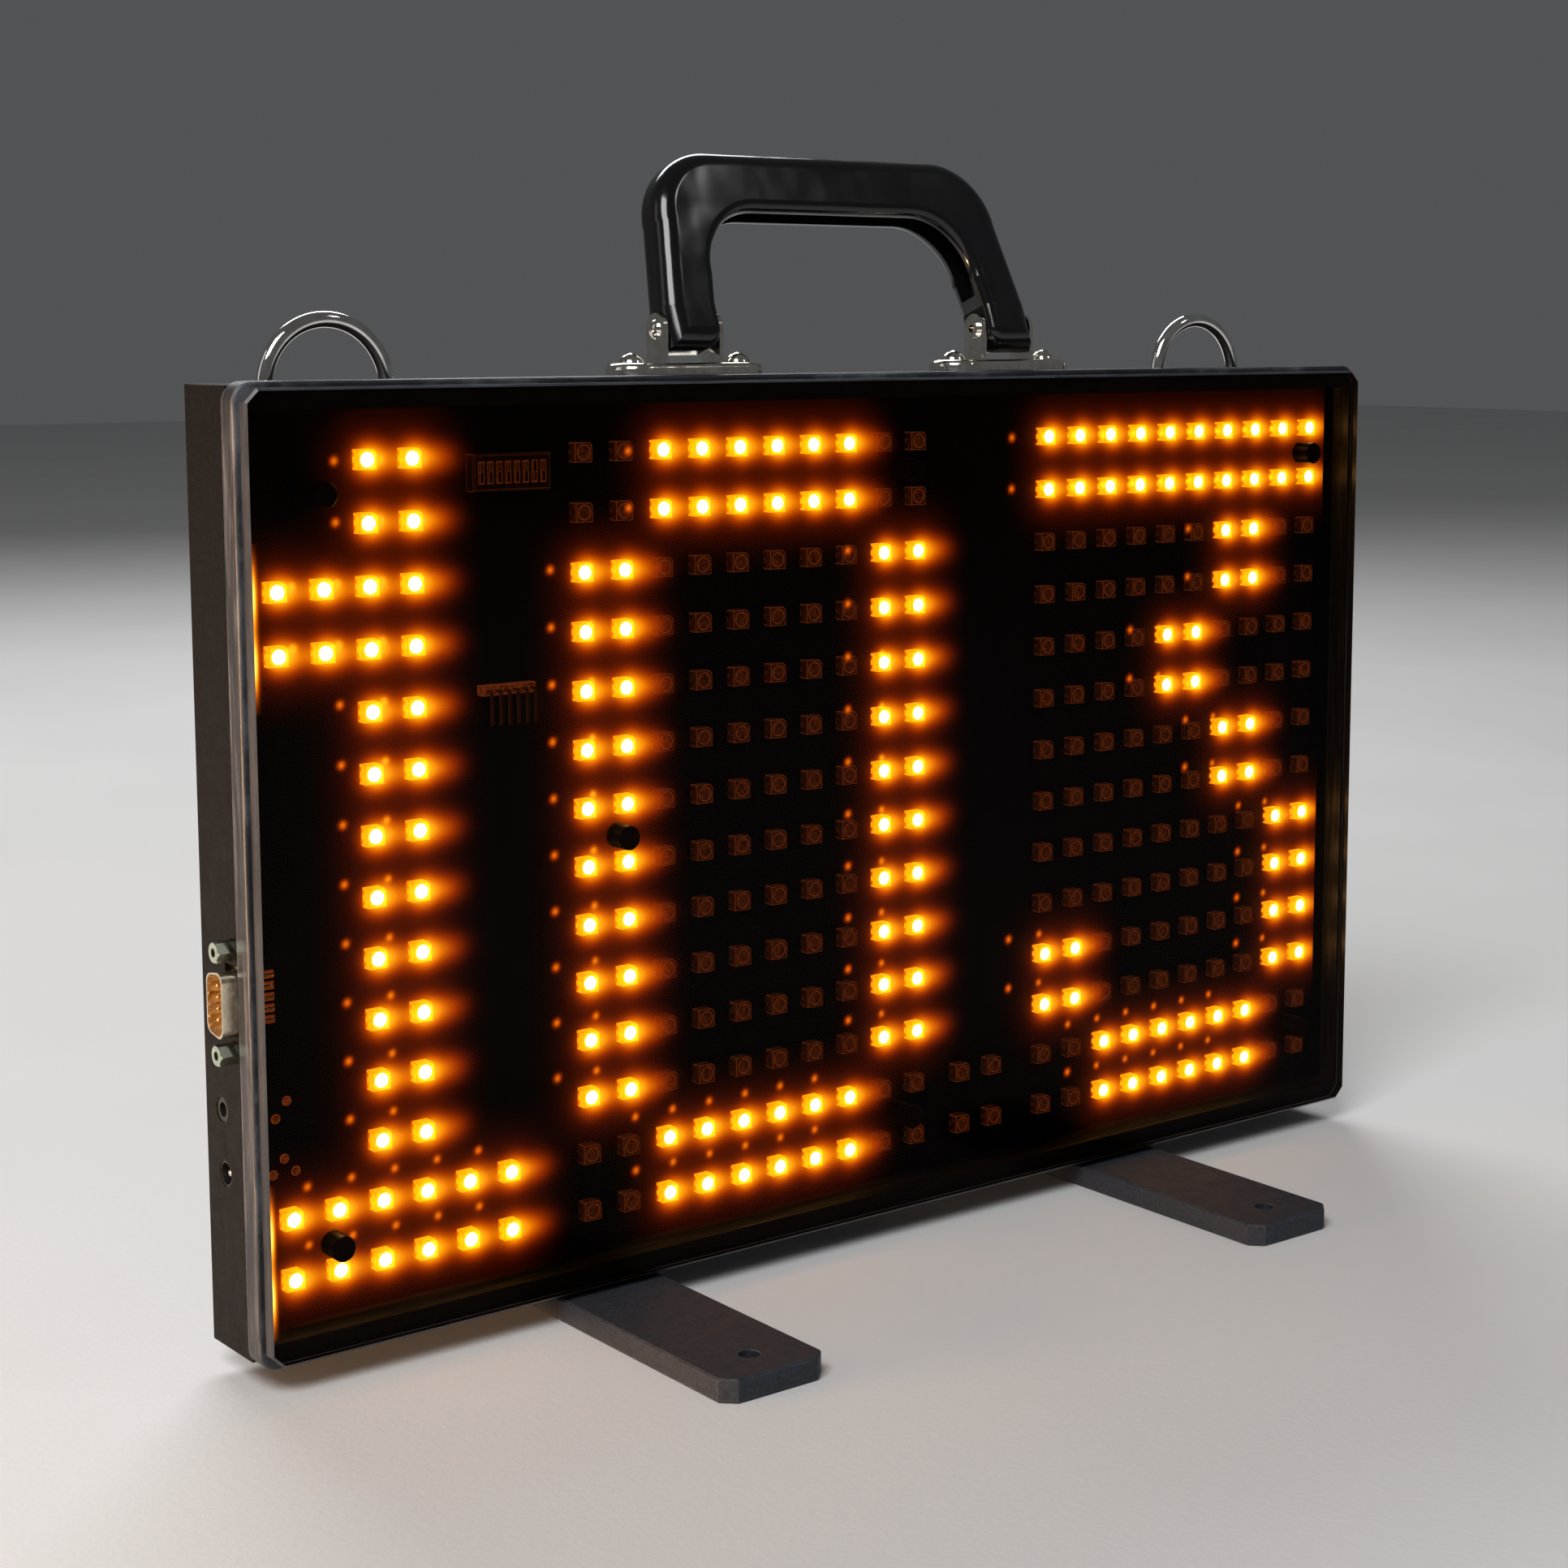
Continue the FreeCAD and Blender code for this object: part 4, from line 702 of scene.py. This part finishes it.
def add_details():
    """The LEDs' leads, painted bright orange where their LED is lit and dark brown where it is
    not, and the two layers of painted glow, which light nothing round them.
    """
    lit = digit_leds(True)
    unlit = digit_leds(False) + list(POINT)
    board_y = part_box("display_board")[0].y
    # painted light: the leads of lit LEDs get a bright orange tin and those of unlit LEDs a dark
    # brown tin, lit and shaded copies of one metal
    painted_lit_leads = bright_metal("lit_lead_tin", (0.85, 0.40, 0.12), 0.3)
    painted_dim_leads = bright_metal("unlit_lead_tin", (0.20, 0.09, 0.05), 0.35)
    for name, places, material in (("led_leads_lit", lit, painted_lit_leads), ("led_leads_unlit", unlit, painted_dim_leads)):
        new_piece(name, tabs_mesh(name, places, board_y), material)
    # painted glow: emissive layers that stand in for LED light scattered in the sheet
    halo_light = painted_glow_material("led_painted_glow", HALO_STRENGTH, HALO_TINTS)
    strip_light = painted_glow_material("edge_painted_glow", STRIP_STRENGTH, STRIP_TINTS)
    for name, mesh, light in (("led_painted_glow", painted_glow_mesh(), halo_light),
                              ("edge_painted_glow", edge_painted_glow_mesh(), strip_light)):
        layer = new_piece(name, mesh, light)
        layer.visible_diffuse = False
        layer.visible_glossy = False


# ---- stage ----
def area_light(name, place, aim, size, power, colour):
    """A soft rectangular light that looks at its aim."""
    light = bpy.data.lights.new(name, "AREA")
    light.shape = "RECTANGLE"
    light.size, light.size_y = size
    light.energy = power
    light.color = colour
    lamp = bpy.data.objects.new(name, light)
    lamp.location = place
    lamp.rotation_euler = (Vector(aim) - Vector(place)).to_track_quat("-Z", "Y").to_euler()
    bpy.context.scene.collection.objects.link(lamp)


def add_stage():
    """A plain pale floor, the sky's even light and the lamps."""
    mesh = bpy.data.meshes.new("floor")
    half = FLOOR_HALF
    mesh.from_pydata([(-half, -half, 0), (half, -half, 0), (half, half, 0), (-half, half, 0)],
                     [], [(0, 1, 2, 3)])
    mesh.materials.append(floor_material())
    floor = bpy.data.objects.new("floor", mesh)
    floor.location.z = -FLOOR_DROP
    bpy.context.scene.collection.objects.link(floor)
    world = bpy.data.worlds.new("studio")
    world.use_nodes = True
    world.node_tree.nodes["Background"].inputs["Color"].default_value = WORLD_TINT
    world.node_tree.nodes["Background"].inputs["Strength"].default_value = WORLD_STRENGTH
    bpy.context.scene.world = world
    for light in LIGHTS:
        area_light(*light)


def add_camera():
    """The photograph's camera, and the plain view that keeps the LEDs orange."""
    data = bpy.data.cameras.new("camera")
    data.sensor_width = 36.0
    data.lens = LENS_MM
    data.shift_x, data.shift_y = LENS_SHIFT
    data.clip_start = 0.01
    bpy.context.scene.view_settings.view_transform = "Standard"
    camera = bpy.data.objects.new("camera", data)
    camera.location = CAMERA_AT
    camera.rotation_euler = [math.radians(a) for a in CAMERA_TURN_DEG]
    bpy.context.scene.collection.objects.link(camera)
    bpy.context.scene.camera = camera


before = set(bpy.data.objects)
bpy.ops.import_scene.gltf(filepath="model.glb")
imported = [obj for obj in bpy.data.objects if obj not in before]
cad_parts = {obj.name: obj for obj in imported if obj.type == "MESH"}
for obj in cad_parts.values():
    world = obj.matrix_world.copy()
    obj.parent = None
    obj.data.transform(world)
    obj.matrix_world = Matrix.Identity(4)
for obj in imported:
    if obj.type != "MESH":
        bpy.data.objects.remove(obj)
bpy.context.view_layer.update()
paint_nodes(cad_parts)
add_details()
add_stage()
add_camera()
